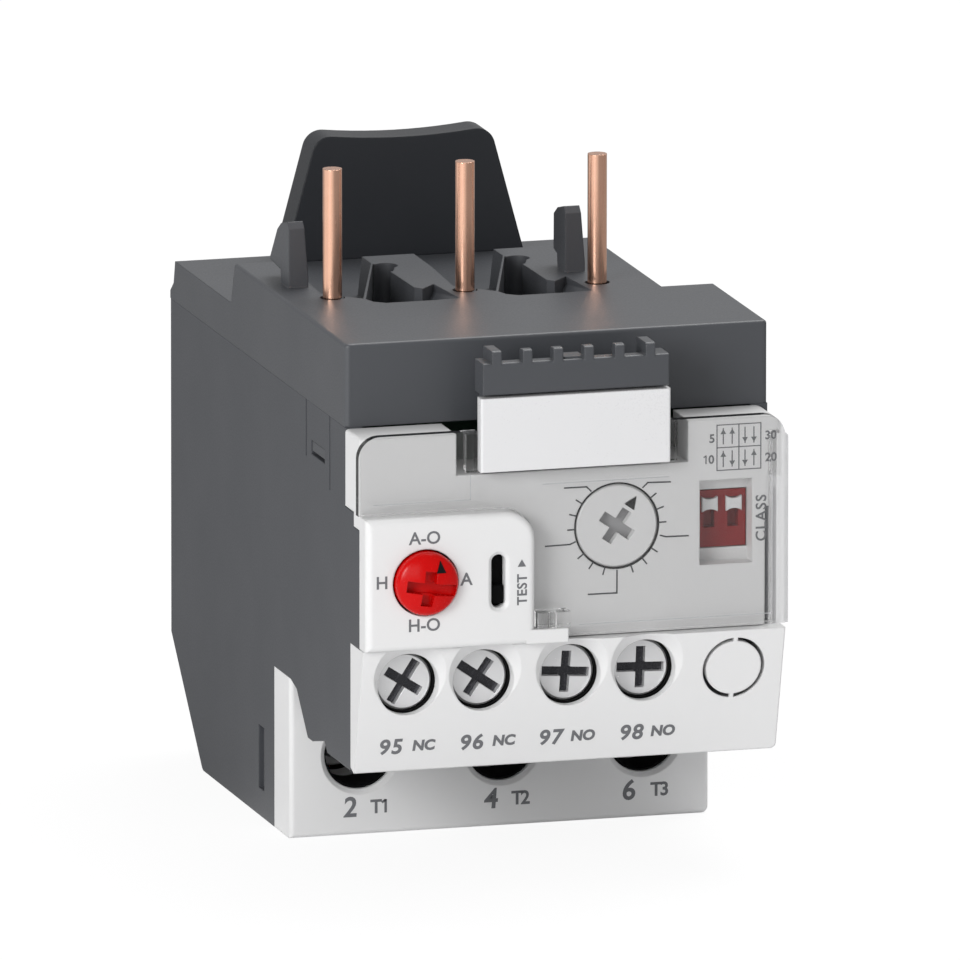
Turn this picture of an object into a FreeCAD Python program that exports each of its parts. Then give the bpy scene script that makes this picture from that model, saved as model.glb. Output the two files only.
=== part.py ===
"""Thermal overload relay for mounting under a contactor.

Millimetres. +Z is up, +Y is towards the rear, +X is to the right seen from the front.
The origin lies on the base plane, in the middle of the width, below the row of line pins.
"""
import FreeCAD
import Part
import math
import os
from FreeCAD import Vector

# ---- casing ----
body_width = 45.0
pin_to_front = 23.1        # line pins to the front face of the cap
pin_to_rear = 44.5         # line pins to the rear wall
body_height = 56.4         # base to the upper face of the cap
cap_height = 8.65
wall = 1.8
half = body_width / 2
inner = half - wall
seam = body_height - cap_height   # housing and cap meet here
rear_slope_rise = 12.8     # the rear wall leans forward over this height
rear_slope_run = 12.7
front_height = 22.15       # recessed front, from the auxiliary block up to the cap
aux_block_height = 13.4
aux_top_z = seam - front_height
overhang_height = aux_top_z - aux_block_height   # underside of the part that carries that block
seam_gap = 0.15
fit_gap = 0.1              # between parts that push together
slide_gap = 0.15           # between sliding parts
running_gap = 0.05         # radial, shafts in their holes

# ---- cap ----
shelf_drop = 4.4           # rear shelf below the upper face
step_to_pins = 19.0        # line pins to the step down to the shelf
notch_width = 5.75         # cut beside the right pole
notch_to_pins = 3.9        # front end of that cut, ahead of the pins
channel_width = 8.6
pocket_depth = 5.6
hook_width = 2.1
hook_height = 6.9
hook_barbs = (4.2, 1.5)      # depth of the barbs behind the stems, left and right

# ---- line pins and transformers ----
pin_diameter = 2.0
pin_pitch = 14.18
pin_middle_x = pin_pitch + 5.12 - half
pin_length = 13.55
pin_hole_gap = 0.3
shank_diameter = 1.6       # the pin below the cap's upper face
strap_thickness = 1.2
strap_width = 3.0
core_width = 6.4
core_front = 3.4           # ahead of the pin
core_back = 9.0            # behind the pin
core_bore = 4.4
core_height = 6.6
winding_start = 3.3
winding_length = 4.6
winding_height = 8.2
core_board_z = seam - 11.85
core_board_depth = 18.0
board_thickness = 1.6

# ---- tab at the rear ----
tab_half_width = 13.0
tab_middle_x = 1.1
tab_height = 13.35
tab_thickness = 3.8
tab_side_slope = 0.27
tab_dip = 0.65
tab_corner = 2.0

# ---- load terminals ----
load_side_room = 0.6       # outer clamps to the side walls
load_middle_x = 0.25
load_z = 8.5
load_hole_diameter = 7.5
load_screw_diameter = 4.0
load_head_diameter = 6.8
load_head_height = 2.6
load_head_y = 8.2
load_clamp_width = 9.8
load_pitch = inner - load_clamp_width / 2 - load_side_room
load_clamp_height = 9.0
load_clamp_wall = 1.0
load_clamp_travel = 3.15
load_tongue_y = 19.4
load_tongue_thickness = 2.0
load_tongue_width = 6.8
load_cable_room = 5.6

# ---- shroud over the load terminals ----
shroud_height = 17.0
shroud_front = -2.0
shroud_depth = 6.0
shroud_wall = 1.6
shroud_corner = 0.7        # lower right corner
shroud_edge = 0.5

# ---- auxiliary terminals ----
aux_front_top = 6.75       # front edge at the top, ahead of the cap's front face
aux_front_bottom = 3.2
aux_side_front = 1.9
aux_end_distance = 5.2     # outer holes to the sides of the casing
aux_first_x = aux_end_distance - half
knockout_x = half - aux_end_distance
aux_pair_pitch = 8.0
aux_pair_step = (knockout_x - aux_first_x) / 2 - 0.05
aux_screw_z = aux_top_z - 4.0
aux_hole_diameter = 6.5
aux_hole_chamfer = 0.45
aux_head_diameter = 6.0
aux_head_height = 1.5
aux_head_front = 3.4       # ahead of the cap's front face
aux_drive_angles = (-57, 35, 4, 2)
aux_screw_diameter = 3.0
aux_clamp_width = 6.0
aux_clamp_height = 6.0
aux_clamp_wall = 0.8
aux_clamp_front_wall = 1.4
aux_clamp_ahead = 4.3      # ahead of the tongue
aux_clamp_travel = 1.6
aux_tongue_width = 4.0
aux_tongue_thickness = 0.8
aux_wire_room = 2.9
knockout_diameter = 6.6
knockout_groove = 0.38
knockout_skin = 1.2
knockout_bridge = 0.45

# ---- front housing ----
face_ahead = 5.3           # recessed front face, ahead of the cap's front face
panel_ahead = 8.0          # raised reset panel
panel_width = 18.0
panel_right = panel_width - half
panel_top = aux_top_z + 14.0
panel_corner = 3.0
ledge_right = panel_right + 3.5
ledge_height = 1.5
front_wall = 1.5
gap_left = -12.3           # blocks either side of the label
gap_right = 12.4
gap_floor = seam - 4.45
block_corner = 0.35        # upper outer corner, left
block_corner_hinge = 1.5   # upper outer corner, right

# ---- reset, test and setting controls ----
knob_x = 6.3 - half
knob_z = aux_top_z + 7.2
knob_diameter = 6.6
knob_ahead = 9.8
knob_bore_gap = 0.2
knob_depth = 5.4
plunger_diameter = 4.0
plunger_travel = 2.0
spigot_diameter = 2.4
spring_wire = 0.5
test_x = 14.1 - half
test_z = aux_top_z + 6.85
test_slot_width = 1.5
test_slot_height = 5.6
test_travel = 2.0
dial_x = 4.8
dial_z = aux_top_z + 11.45
dial_diameter = 8.7
dial_bore_gap = 0.2
dial_depth = 1.7
dial_shaft_diameter = 3.6
pot_size = 9.0
pot_height = 5.0
drive_depth = 0.9          # cross recesses in the knob and the dial
knob_drive_width = 1.35
knob_drive_length = 5.0
dial_drive_width = 1.15
dial_drive_length = 3.85
dial_pointer_angle = 35.0
knob_pointer_angle = 38.0

# ---- tripping class switch ----
switch_x = half - 6.05
switch_z = aux_top_z + 11.2
switch_width = 5.3
switch_height = 5.95
switch_sunk = 1.9
switch_recess_width = 5.6
switch_recess_height = 8.8
slider_pitch = 2.56
slider_width = 1.65
slider_height = 1.6
slider_travel = 1.6
slider_slot = 1.15
slider_proud = 0.45

# ---- clear cover ----
cover_ahead = 6.4
cover_thickness = 1.0
cover_left = -half - 0.4
cover_right = half + 0.04
cover_top = seam + 0.2
cover_bottom = aux_top_z + 0.4
hinge_x = half - 0.8
hinge_behind_cover = 1.2
hinge_room = 1.7           # free space behind the hinge axis
stub_diameter = 0.7        # stubs on the flange that the cover turns on
stub_reach = 1.0
flange_left = half - 1.1
flange_right = half + 0.55
flange_front = -28.9
flange_rear = -26.95
flange_bottom = aux_top_z + 0.3
flange_top = seam - 1.95

# ---- marker holder and label ----
label_half_width = 10.1
label_bottom = seam - 4.0
label_top = seam + 3.7
label_ahead = 7.2
label_thickness = 1.4
holder_half_width = 9.9
holder_foot_half_width = 7.8
holder_bottom = seam + 4.0
holder_top = seam + 7.35
holder_lip = 1.4
holder_depth = 3.0
rib_count = 6
rib_pitch = 3.27
rib_width = 1.0
rib_rise = 1.25

# ---- boards and contacts ----
main_board_y = -16.0
contact_y = -9.6
contact_top_z = aux_top_z + 1.7
contact_gap = 2.0
bridge_thickness = 0.6
pad_diameter = 2.0
pad_height = 0.5
carrier_front = -8.2
carrier_thickness = 2.0
guide_diameter = 2.0
coil_x = half - 6.1
coil_y = -9.2
coil_base = overhang_height + 6.3
coil_outer = 6.8
coil_height = 8.0
coil_flange = 0.6
trip_travel = 2.0

# ---- places that follow from the sizes above ----
front = -pin_to_front
rear = pin_to_rear
shelf = body_height - shelf_drop
face = front - face_ahead
panel_face = front - panel_ahead
shroud_back = shroud_front + shroud_depth
aux_side = front - aux_side_front
cheek_front = face
floor_z = overhang_height + wall
pins_x = [pin_middle_x + pin_pitch * i for i in (-1, 0, 1)]
loads_x = [load_middle_x + load_pitch * i for i in (-1, 0, 1)]
aux_x = [
    aux_first_x + aux_pair_step * pair + aux_pair_pitch * side
    for pair in (0, 1) for side in (0, 1)
]


# ---- helpers ----
def block(x0, x1, y0, y1, z0, z1):
    return Part.makeBox(x1 - x0, y1 - y0, z1 - z0, Vector(x0, y0, z0))


def rod(x, y, z, radius, length, axis):
    """a cylinder that starts at x, y, z and runs along the named axis"""
    way = {"x": Vector(1, 0, 0), "y": Vector(0, 1, 0), "z": Vector(0, 0, 1)}[axis]
    return Part.makeCylinder(radius, length, Vector(x, y, z), way)


def cone_y(x, y, z, radius, radius_end, length):
    return Part.makeCone(radius, radius_end, length, Vector(x, y, z), Vector(0, 1, 0))


def slab(points, axis, start, end):
    """a flat outline pushed along an axis; points are the other two coordinates"""
    place = {
        "x": lambda a, b: Vector(start, a, b),
        "y": lambda a, b: Vector(a, start, b),
        "z": lambda a, b: Vector(a, b, start),
    }[axis]
    corners = [place(a, b) for a, b in points]
    outline = Part.Face(Part.makePolygon(corners + corners[:1]))
    push = {"x": Vector(1, 0, 0), "y": Vector(0, 1, 0), "z": Vector(0, 0, 1)}[axis]
    return outline.extrude(push * (end - start))


def edges_where(shape, along, test):
    """straight edges parallel to an axis whose middle passes the test"""
    way = {"x": Vector(1, 0, 0), "y": Vector(0, 1, 0), "z": Vector(0, 0, 1)}[along]
    chosen = []
    for edge in shape.Edges:
        if not isinstance(edge.Curve, Part.Line):
            continue
        if abs(abs(edge.tangentAt(edge.FirstParameter).dot(way)) - 1) > 1e-6:
            continue
        middle = edge.valueAt((edge.FirstParameter + edge.LastParameter) / 2)
        if test(middle):
            chosen.append(edge)
    return chosen


def rounded(shape, radius, along, test):
    return shape.makeFillet(radius, edges_where(shape, along, test))


def near(a, b, slack=0.02):
    return abs(a - b) < slack


def turned(shape, x, z, degrees):
    """turned clockwise as seen from the front about an axis through x, z"""
    copy = shape.copy()
    copy.rotate(Vector(x, 0, z), Vector(0, 1, 0), degrees)
    return copy


def cross_recess(x, y, z, length, width, depth, degrees):
    """a cutter for a cross drive whose mouth is at y"""
    arm = block(x - length / 2, x + length / 2, y - depth, y + depth, z - width / 2, z + width / 2)
    upright = turned(arm, x, z, 90)
    return turned(arm.fuse(upright), x, z, degrees)


def pointer_recess(x, y, z, reach, size, depth, degrees):
    """a small triangular cutter that points away from the axis"""
    tip = z + reach
    shape = slab([(x - size / 2, tip - size), (x + size / 2, tip - size), (x, tip)], "y", y - depth, y + depth)
    return turned(shape, x, z, degrees)


# ---- casing ----
def casing_outline():
    lip = 2.6
    slope_end = shroud_front - lip - (shroud_height - 0.6 - overhang_height)
    return [
        (front, seam), (rear, seam), (rear, rear_slope_rise), (rear - rear_slope_run, 0),
        (shroud_back, 0), (shroud_back, shroud_height), (shroud_front - 0.3, shroud_height),
        (shroud_front - lip, shroud_height - 0.6),
        (slope_end, overhang_height), (slope_end - 1.9, overhang_height),
        (slope_end - 6.4, overhang_height + 1.0), (slope_end - 7.4, overhang_height),
        (aux_side, overhang_height), (aux_side, aux_top_z), (cheek_front, aux_top_z),
        (cheek_front, panel_top - 1.6), (front - 3.2, panel_top - 1.6), (front - 3.2, panel_top - 0.1),
        (front, panel_top - 0.1),
    ]


def casing_hollow():
    """the room inside, open to the top, the front and the load terminals"""
    lip = 2.6
    beyond = 40.0
    sides = [
        (front - beyond, seam + beyond), (rear, seam + beyond), (rear, rear_slope_rise),
        (rear - rear_slope_run, 0), (shroud_back, 0), (shroud_back, shroud_height),
        (shroud_front - 0.3, shroud_height), (shroud_front - lip, shroud_height - 0.6),
        (shroud_front - lip - (shroud_height - 0.6 - overhang_height), overhang_height),
        (front - beyond, overhang_height),
    ]
    corners = [Vector(-inner, y, z) for y, z in sides]
    outline = Part.Face(Part.makePolygon(corners + corners[:1]))
    room = outline.makeOffset2D(-wall, join=2).extrude(Vector(2 * inner, 0, 0))
    door = block(-inner, inner, shroud_back - 1, shroud_back + wall + 1, wall, shroud_height - wall)
    return room.fuse(door)


def cable_entries():
    half_entry = load_tongue_width / 2 + 0.2
    start = load_tongue_y + load_tongue_thickness + 0.5
    return [block(x - half_entry, x + half_entry, start, start + 4.8, -1, wall + 1) for x in loads_x]


def wire_slots():
    start = aux_tongue_back() + 0.1
    reach = aux_wire_room - 0.2
    return [
        block(x - 1.8, x + 1.8, start, start + reach, overhang_height - 1, floor_z + 1) for x in aux_x
    ]


def snap_cuts(side):
    """slots either side of a snap window, and one shallow recess, in a cheek"""
    outer = side * half
    low, high = min(outer, outer - side * 2 * wall), max(outer, outer - side * 2 * wall)
    slit_x = sorted((outer + side, outer - side * 0.6))
    return [
        block(low - 1, high + 1, front + 5.7, front + 6.1, seam - 7.75, seam + 1),
        block(low - 1, high + 1, front + 14.6, front + 15.0, seam - 5.95, seam + 1),
        block(low - 1, high + 1, front + 7.8, front + 12.9, seam - 5.4, seam - 3.9),
        block(slit_x[0], slit_x[1], shroud_back + 3.85, shroud_back + 6.0, 2.9, 9.6),
    ]


def make_main_housing():
    shell = slab(casing_outline(), "x", -half, half)
    shell = rounded(shell, 1.2, "x", lambda p: near(p.y, rear - rear_slope_run) and near(p.z, 0))
    shell = rounded(shell, 0.6, "z", lambda p: near(p.y, rear))
    shell = shell.cut(casing_hollow())
    # the right cheek stops short of the cover's hinge flange
    cheek_cut = block(inner - 0.2, half + 1, cheek_front - 1, hinge_y() + hinge_room, aux_top_z, seam + 1)
    cuts = cable_entries() + wire_slots() + snap_cuts(-1) + snap_cuts(1) + [cheek_cut]
    shell = shell.cut(cuts)
    # partitions between the load terminals
    partition_end = load_tongue_y + load_tongue_thickness + load_cable_room + 2.6
    partitions = []
    for left, right in zip(loads_x, loads_x[1:]):
        middle = (left + right) / 2
        partitions.append(block(middle - 1, middle + 1, shroud_back, partition_end, wall / 2, shroud_height - wall))
    # shelf under the current straps, and ledges under the transformer board
    strap_under = contact_under() - strap_thickness
    shelf_part = block(-inner - 0.5, inner + 0.5, 2.0, load_tongue_y - 1.4, strap_under - 1.8, strap_under)
    ledges = [
        block(side * inner - 1.2, side * inner + 1.2, -9, 9, core_board_z - 1.4, core_board_z)
        for side in (-1, 1)
    ]
    # posts that guide the contact carrier, and the seat of the trip coil
    posts = [
        rod(x, carrier_y(), floor_z + 1.2, guide_diameter / 2, carrier_top() + 2.5 - floor_z, "z")
        for x in guide_x()
    ]
    seat = block(coil_x - 3.0, coil_x + 3.0, coil_y - 3.2, coil_y + 2.6, floor_z - 0.4, coil_base)
    envelope = slab(casing_outline(), "x", -half, half)
    stands = [piece.common(envelope) for piece in posts + [seat]]
    return shell.fuse(partitions + [shelf_part] + ledges + stands).removeSplitter()


# ---- cap ----
def channel_outline(pin):
    """plan of the drop behind a pin, towards the rear shelf"""
    left = pin - 0.1
    right = left + channel_width
    return [
        (pin - 0.6, 2.2), (pin + 2.9, -1.4), (right - 0.2, 14.9), (right, 15.6),
        (right, step_to_pins + 6), (left, step_to_pins + 6), (left, 12.0),
    ]


def channel_cut(pin):
    plan = slab(channel_outline(pin), "z", shelf - 1, body_height + 1)
    ramp_end = 2.2 + shelf_drop * 1.6
    profile = [
        (-3.0, body_height + 0.7), (2.2 - 3.6, body_height), (ramp_end - 3.6, shelf),
        (step_to_pins + 8, shelf), (step_to_pins + 8, body_height + 2), (-3.0, body_height + 2),
    ]
    return plan.common(slab(profile, "x", pin - 3, pin + channel_width + 3))


def pocket_cut(pin):
    """the deep pocket to the right of a pin, hooked at its rear end"""
    bottom = body_height - pocket_depth
    top = body_height + 1
    plan = [
        (pin + 3.1, -1.7), (pin + 3.5, -3.2), (pin + 4.6, -4.1), (pin + 10.2, -4.1),
        (pin + 10.2, 1.7), (pin + 9.5, 2.6), (pin + 9.3, 11.6),
    ]
    deep = slab(plan + [(pin + 8.6, 15.2)], "z", bottom, top)
    hook = rod(pin + 9.6, 14.0, bottom, 1.3, top - bottom, "z")
    reach = slab(
        [(pin + 8.5, 11.0), (pin + 9.6, 11.0), (pin + 10.3, 12.9), (pin + 9.6, 15.2), (pin + 8.5, 15.0)],
        "z", bottom, top)
    # a sloping lead-in beside the next pin
    slope = slab(
        [(pin + 10.1, body_height - 3.4), (pin + 12.5, body_height), (pin + 12.5, top), (pin + 10.1, top)],
        "y", -4.0, 3.9)
    wedge_plan = slab(
        [(pin + 10.1, -4.0), (pin + 12.5, -3.9), (pin + 11.9, 3.8), (pin + 10.1, 1.7)], "z", bottom, top)
    return [deep, hook, reach, slope.common(wedge_plan)]


def make_hook(x, barb):
    """a barbed hook that latches behind the contactor's terminal housing"""
    y = 5.6
    low = body_height - 0.5
    top = body_height + hook_height
    side = [
        (y, low), (y, top - 0.7), (y + 0.5, top), (y + 2.9, top - 0.6), (y + 4.35, top - 1.5),
        (y + 2.9 + barb, body_height + 2.0), (y + 2.9 + barb, body_height + 1.7),
        (y + 3.1, body_height + 1.4), (y + 2.9, body_height), (y + 2.9, low),
    ]
    hook = slab(side, "x", x - hook_width / 2, x + hook_width / 2)
    taper = slab(
        [(x + hook_width / 2, body_height + 1), (x + hook_width / 2 + 1, body_height + 1),
         (x + hook_width / 2 + 1, top + 1), (x + hook_width / 2 - 0.55, top + 1)], "y", y - 1, y + 9)
    return hook.cut(taper)


def make_top_cap():
    lean = 0.6
    profile = [
        (front, seam), (front, body_height), (step_to_pins, body_height), (step_to_pins + 1.6, shelf),
        (rear - 2.2, shelf), (rear - 2.2 + lean, shelf - 2.4), (rear - 0.3, seam + 0.8), (rear - 0.3, seam),
    ]
    cap = slab(profile, "x", -half, half)
    cap = rounded(cap, 0.5, "z", lambda p: near(p.y, front))
    cap = rounded(cap, 0.35, "x", lambda p: near(p.y, front) and near(p.z, body_height))
    notch = block(half - notch_width, half + 1, -notch_to_pins, step_to_pins + 3, shelf, body_height + 1)
    cuts = [notch]
    for pin in pins_x:
        cuts.append(rod(pin, 0, seam - 1, pin_diameter / 2 + pin_hole_gap, cap_height + 2, "z"))
    for pin in pins_x[:2]:
        cuts.append(channel_cut(pin))
        cuts += pocket_cut(pin)
    # underside: deep at the front, shallow below the pockets and the shelf
    cuts.append(block(-inner, inner, front + wall, -notch_to_pins - 2.4, seam - 1, body_height - wall))
    cuts.append(block(-inner, inner, -notch_to_pins - 2.5, rear - wall - 0.3, seam - 1, seam + 1.4))
    # slot for the tab
    tab_y = rear - 2.3 - tab_thickness
    cuts.append(
        block(tab_middle_x - 6 - fit_gap / 2, tab_middle_x + 6 + fit_gap / 2,
              tab_y + 1 - fit_gap / 2, tab_y + 2.8 + fit_gap / 2, shelf - 1.2, shelf + 1))
    cap = cap.cut(cuts)
    hooks = [make_hook(x, barb) for x, barb in zip(hooks_x(), hook_barbs)]
    # snap tongues behind the windows of the cheeks
    tongues = []
    for side in (-1, 1):
        outer = side * (inner - fit_gap)
        x0, x1 = sorted((outer, outer - side * 1.3))
        tongues.append(block(x0, x1, front + 8.9, front + 12.5, seam - 6.0, seam + 2.0))
        x0, x1 = sorted((side * (inner + 0.5), outer - side * 1.3))
        tongues.append(block(x0, x1, front + 8.9, front + 12.5, seam + 0.2, seam + 2.0))
        x0, x1 = sorted((side * (half - 0.08), side * (inner + 0.05)))
        tongues.append(block(x0, x1, front + 7.95, front + 12.7, seam - 5.0, seam - 3.98))
        x0, x1 = sorted((side * (inner + 0.3), outer - side * 0.5))
        tongues.append(block(x0, x1, front + 8.9, front + 12.5, seam - 5.0, seam - 3.98))
    return cap.fuse(hooks + tongues).removeSplitter()


def hooks_x():
    return [pins_x[0] - 2.05, pins_x[2] - 0.75]


def make_support_tab():
    """upright plate that bears on the back of the contactor"""
    y = rear - 2.3 - tab_thickness
    top = shelf + tab_height
    half_top = tab_half_width - tab_side_slope * tab_height
    left, right = tab_middle_x - half_top, tab_middle_x + half_top
    low_left = Vector(tab_middle_x - tab_half_width, y, shelf)
    low_right = Vector(tab_middle_x + tab_half_width, y, shelf)
    top_left, top_right = Vector(left, y, top), Vector(right, y, top)
    dip = Part.Arc(top_right, Vector(tab_middle_x, y, top - tab_dip), top_left)
    edges = [
        Part.makeLine(low_left, low_right), Part.makeLine(low_right, top_right),
        dip.toShape(), Part.makeLine(top_left, low_left),
    ]
    plate = Part.Face(Part.Wire(edges)).extrude(Vector(0, tab_thickness, 0))
    corners = []
    for edge in plate.Edges:
        middle = edge.valueAt((edge.FirstParameter + edge.LastParameter) / 2)
        if near(middle.z, top) and near(middle.y, y + tab_thickness / 2):
            corners.append(edge)
    plate = plate.makeFillet(tab_corner, corners)
    tenon = block(tab_middle_x - 6, tab_middle_x + 6, y + 1, y + 2.8, shelf - 1.1, shelf + 0.5)
    return plate.fuse(tenon).removeSplitter()


# ---- current path ----
def contact_under():
    """upper face of the current straps, set by the contact level below them"""
    return contact_top_z + 0.1


def make_line_conductor(pin, load):
    """a copper pin on a cranked strap that ends in the clamp's tongue"""
    top = contact_under()
    bottom = top - strap_thickness
    tongue_end = load_tongue_y + load_tongue_thickness
    half_strap = strap_width / 2
    pin_part = rod(pin, 0, body_height, pin_diameter / 2, pin_length, "z")
    shank = rod(pin, 0, bottom, shank_diameter / 2, body_height + 0.1 - bottom, "z")
    plan = [
        (pin - half_strap, -half_strap), (pin + half_strap, -half_strap), (pin + half_strap, 4.0),
        (load + load_tongue_width / 2, 10.0), (load + load_tongue_width / 2, tongue_end),
        (load - load_tongue_width / 2, tongue_end), (load - load_tongue_width / 2, 10.0),
        (pin - half_strap, 4.0),
    ]
    strap = slab(plan, "z", bottom, top)
    tongue = block(
        load - load_tongue_width / 2, load + load_tongue_width / 2, load_tongue_y, tongue_end, wall + 0.6, top)
    return pin_part.fuse([shank, strap, tongue]).removeSplitter()


def make_transformer(pin):
    """a rectangular core around a line pin, with the winding on its rear limb"""
    base = core_board_z + board_thickness
    side = core_width / 2
    core = block(pin - side + 0.3, pin + side - 0.3, -core_front, core_back, base, base + core_height)
    core = rounded(core, 0.6, "z", lambda p: True)
    winding = block(
        pin - side, pin + side, winding_start, winding_start + winding_length, base, base + winding_height)
    winding = rounded(winding, 1.0, "y", lambda p: p.z > base + 1)
    bore = rod(pin, 0, base - 1, core_bore / 2, core_height + 2, "z")
    return core.fuse(winding).cut(bore).removeSplitter()


def make_transformer_board():
    board = block(
        -inner + fit_gap, inner - fit_gap, -core_board_depth / 2, core_board_depth / 2,
        core_board_z, core_board_z + board_thickness)
    return board.cut([rod(x, 0, core_board_z - 1, pin_diameter / 2 + 0.1, board_thickness + 2, "z") for x in pins_x])


def make_screw(x, z, head_y, head_d, head_h, shank_d, tip_y, degrees):
    """a combination slot and cross head with its shank, axis along Y"""
    head = rod(x, head_y, z, head_d / 2, head_h, "y")
    head = head.makeChamfer(0.22, [e for e in head.Edges if near(e.BoundBox.YMax, head_y)])
    shank = rod(x, head_y + head_h, z, shank_d / 2, tip_y - head_y - head_h, "y")
    depth = head_h * 0.6
    reach = head_d * 0.42
    slot = block(x - reach, x + reach, head_y - depth, head_y + depth, z - 0.5, z + 0.5)
    arm = head_d * 0.36
    cross = block(x - 0.5, x + 0.5, head_y - depth, head_y + depth * 1.15, z - arm, z + arm)
    recess = turned(slot.fuse(cross), x, z, degrees)
    return head.fuse(shank).cut(recess).removeSplitter()


def make_load_screw(x):
    return make_screw(
        x, load_z, load_head_y, load_head_diameter, load_head_height, load_screw_diameter,
        load_tongue_y - fit_gap, 20)


def make_clamp(x, z, width, height, thickness, front_y, front_wall_depth, rear_y, screw_d):
    """a box clamp with the screw in its front wall, open upwards and downwards"""
    outer = block(x - width / 2, x + width / 2, front_y, rear_y, z - height / 2, z + height / 2)
    outer = rounded(outer, 0.5, "z", lambda p: True)
    room = block(
        x - width / 2 + thickness, x + width / 2 - thickness, front_y + front_wall_depth, rear_y - thickness * 1.6,
        z - height, z + height)
    thread = rod(x, front_y - 1, z, screw_d / 2 + running_gap, front_wall_depth + 2, "y")
    return outer.cut([room, thread])


def make_load_clamp(x):
    rear_wall = load_tongue_y + load_tongue_thickness + load_cable_room
    return make_clamp(
        x, load_z, load_clamp_width, load_clamp_height, load_clamp_wall,
        load_tongue_y - 4.8, 2.5, rear_wall + load_clamp_wall * 1.6, load_screw_diameter)


def make_terminal_shroud():
    """front and sides of the load terminals, with a guide tube for each screwdriver"""
    outer = block(-half, half, shroud_front, shroud_back, 0, shroud_height)
    outer = rounded(outer, shroud_corner, "y", lambda p: near(p.z, 0) and near(p.x, half))
    outer = rounded(outer, shroud_edge, "z", lambda p: near(p.y, shroud_front))
    room = block(
        -half + shroud_wall, half - shroud_wall, shroud_front + shroud_wall, shroud_back + 1,
        shroud_wall, shroud_height - shroud_wall)
    outer = outer.cut(room)
    radius = load_hole_diameter / 2
    depth = load_head_y - slide_gap - shroud_front
    tubes = [rod(x, shroud_front, load_z, radius + 0.8, depth, "y") for x in loads_x]
    outer = outer.fuse([tube.common(block(-half, half, shroud_front + 0.5, 9, 0.5, 30)) for tube in tubes])
    holes = []
    for x in loads_x:
        holes.append(rod(x, shroud_front - 1, load_z, radius, depth + 2, "y"))
        holes.append(cone_y(x, shroud_front - 0.01, load_z, radius + 0.5, radius, 0.5))
    return outer.cut(holes).removeSplitter()


# ---- auxiliary terminals ----
def aux_tongue_y():
    return front - aux_head_front + aux_head_height + 6.0


def aux_tongue_back():
    return aux_tongue_y() + aux_tongue_thickness


def make_aux_screw(x, degrees):
    return make_screw(
        x, aux_screw_z, front - aux_head_front, aux_head_diameter, aux_head_height, aux_screw_diameter,
        aux_tongue_y() - fit_gap, degrees)


def aux_clamp_rear():
    return aux_tongue_back() + aux_wire_room + aux_clamp_wall * 1.6


def make_aux_clamp(x):
    return make_clamp(
        x, aux_screw_z, aux_clamp_width, aux_clamp_height, aux_clamp_wall,
        aux_tongue_y() - aux_clamp_ahead, aux_clamp_front_wall, aux_clamp_rear(), aux_screw_diameter)


def make_aux_contact(x, closed):
    """tongue behind the screw and the leg that carries the fixed contact"""
    y = aux_tongue_y()
    half_tongue = aux_tongue_width / 2
    top = contact_top_z
    upright = block(x - half_tongue, x + half_tongue, y, aux_tongue_back(), floor_z + 0.6, top)
    leg = block(x - 1.3, x + 1.3, y, contact_y + 1.2, top - aux_tongue_thickness, top)
    if closed:
        pad = rod(x, contact_y, top, pad_diameter / 2, pad_height, "z")
    else:
        pad = rod(x, contact_y, top - aux_tongue_thickness - pad_height, pad_diameter / 2, pad_height, "z")
    return upright.fuse([leg, pad]).removeSplitter()


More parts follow.
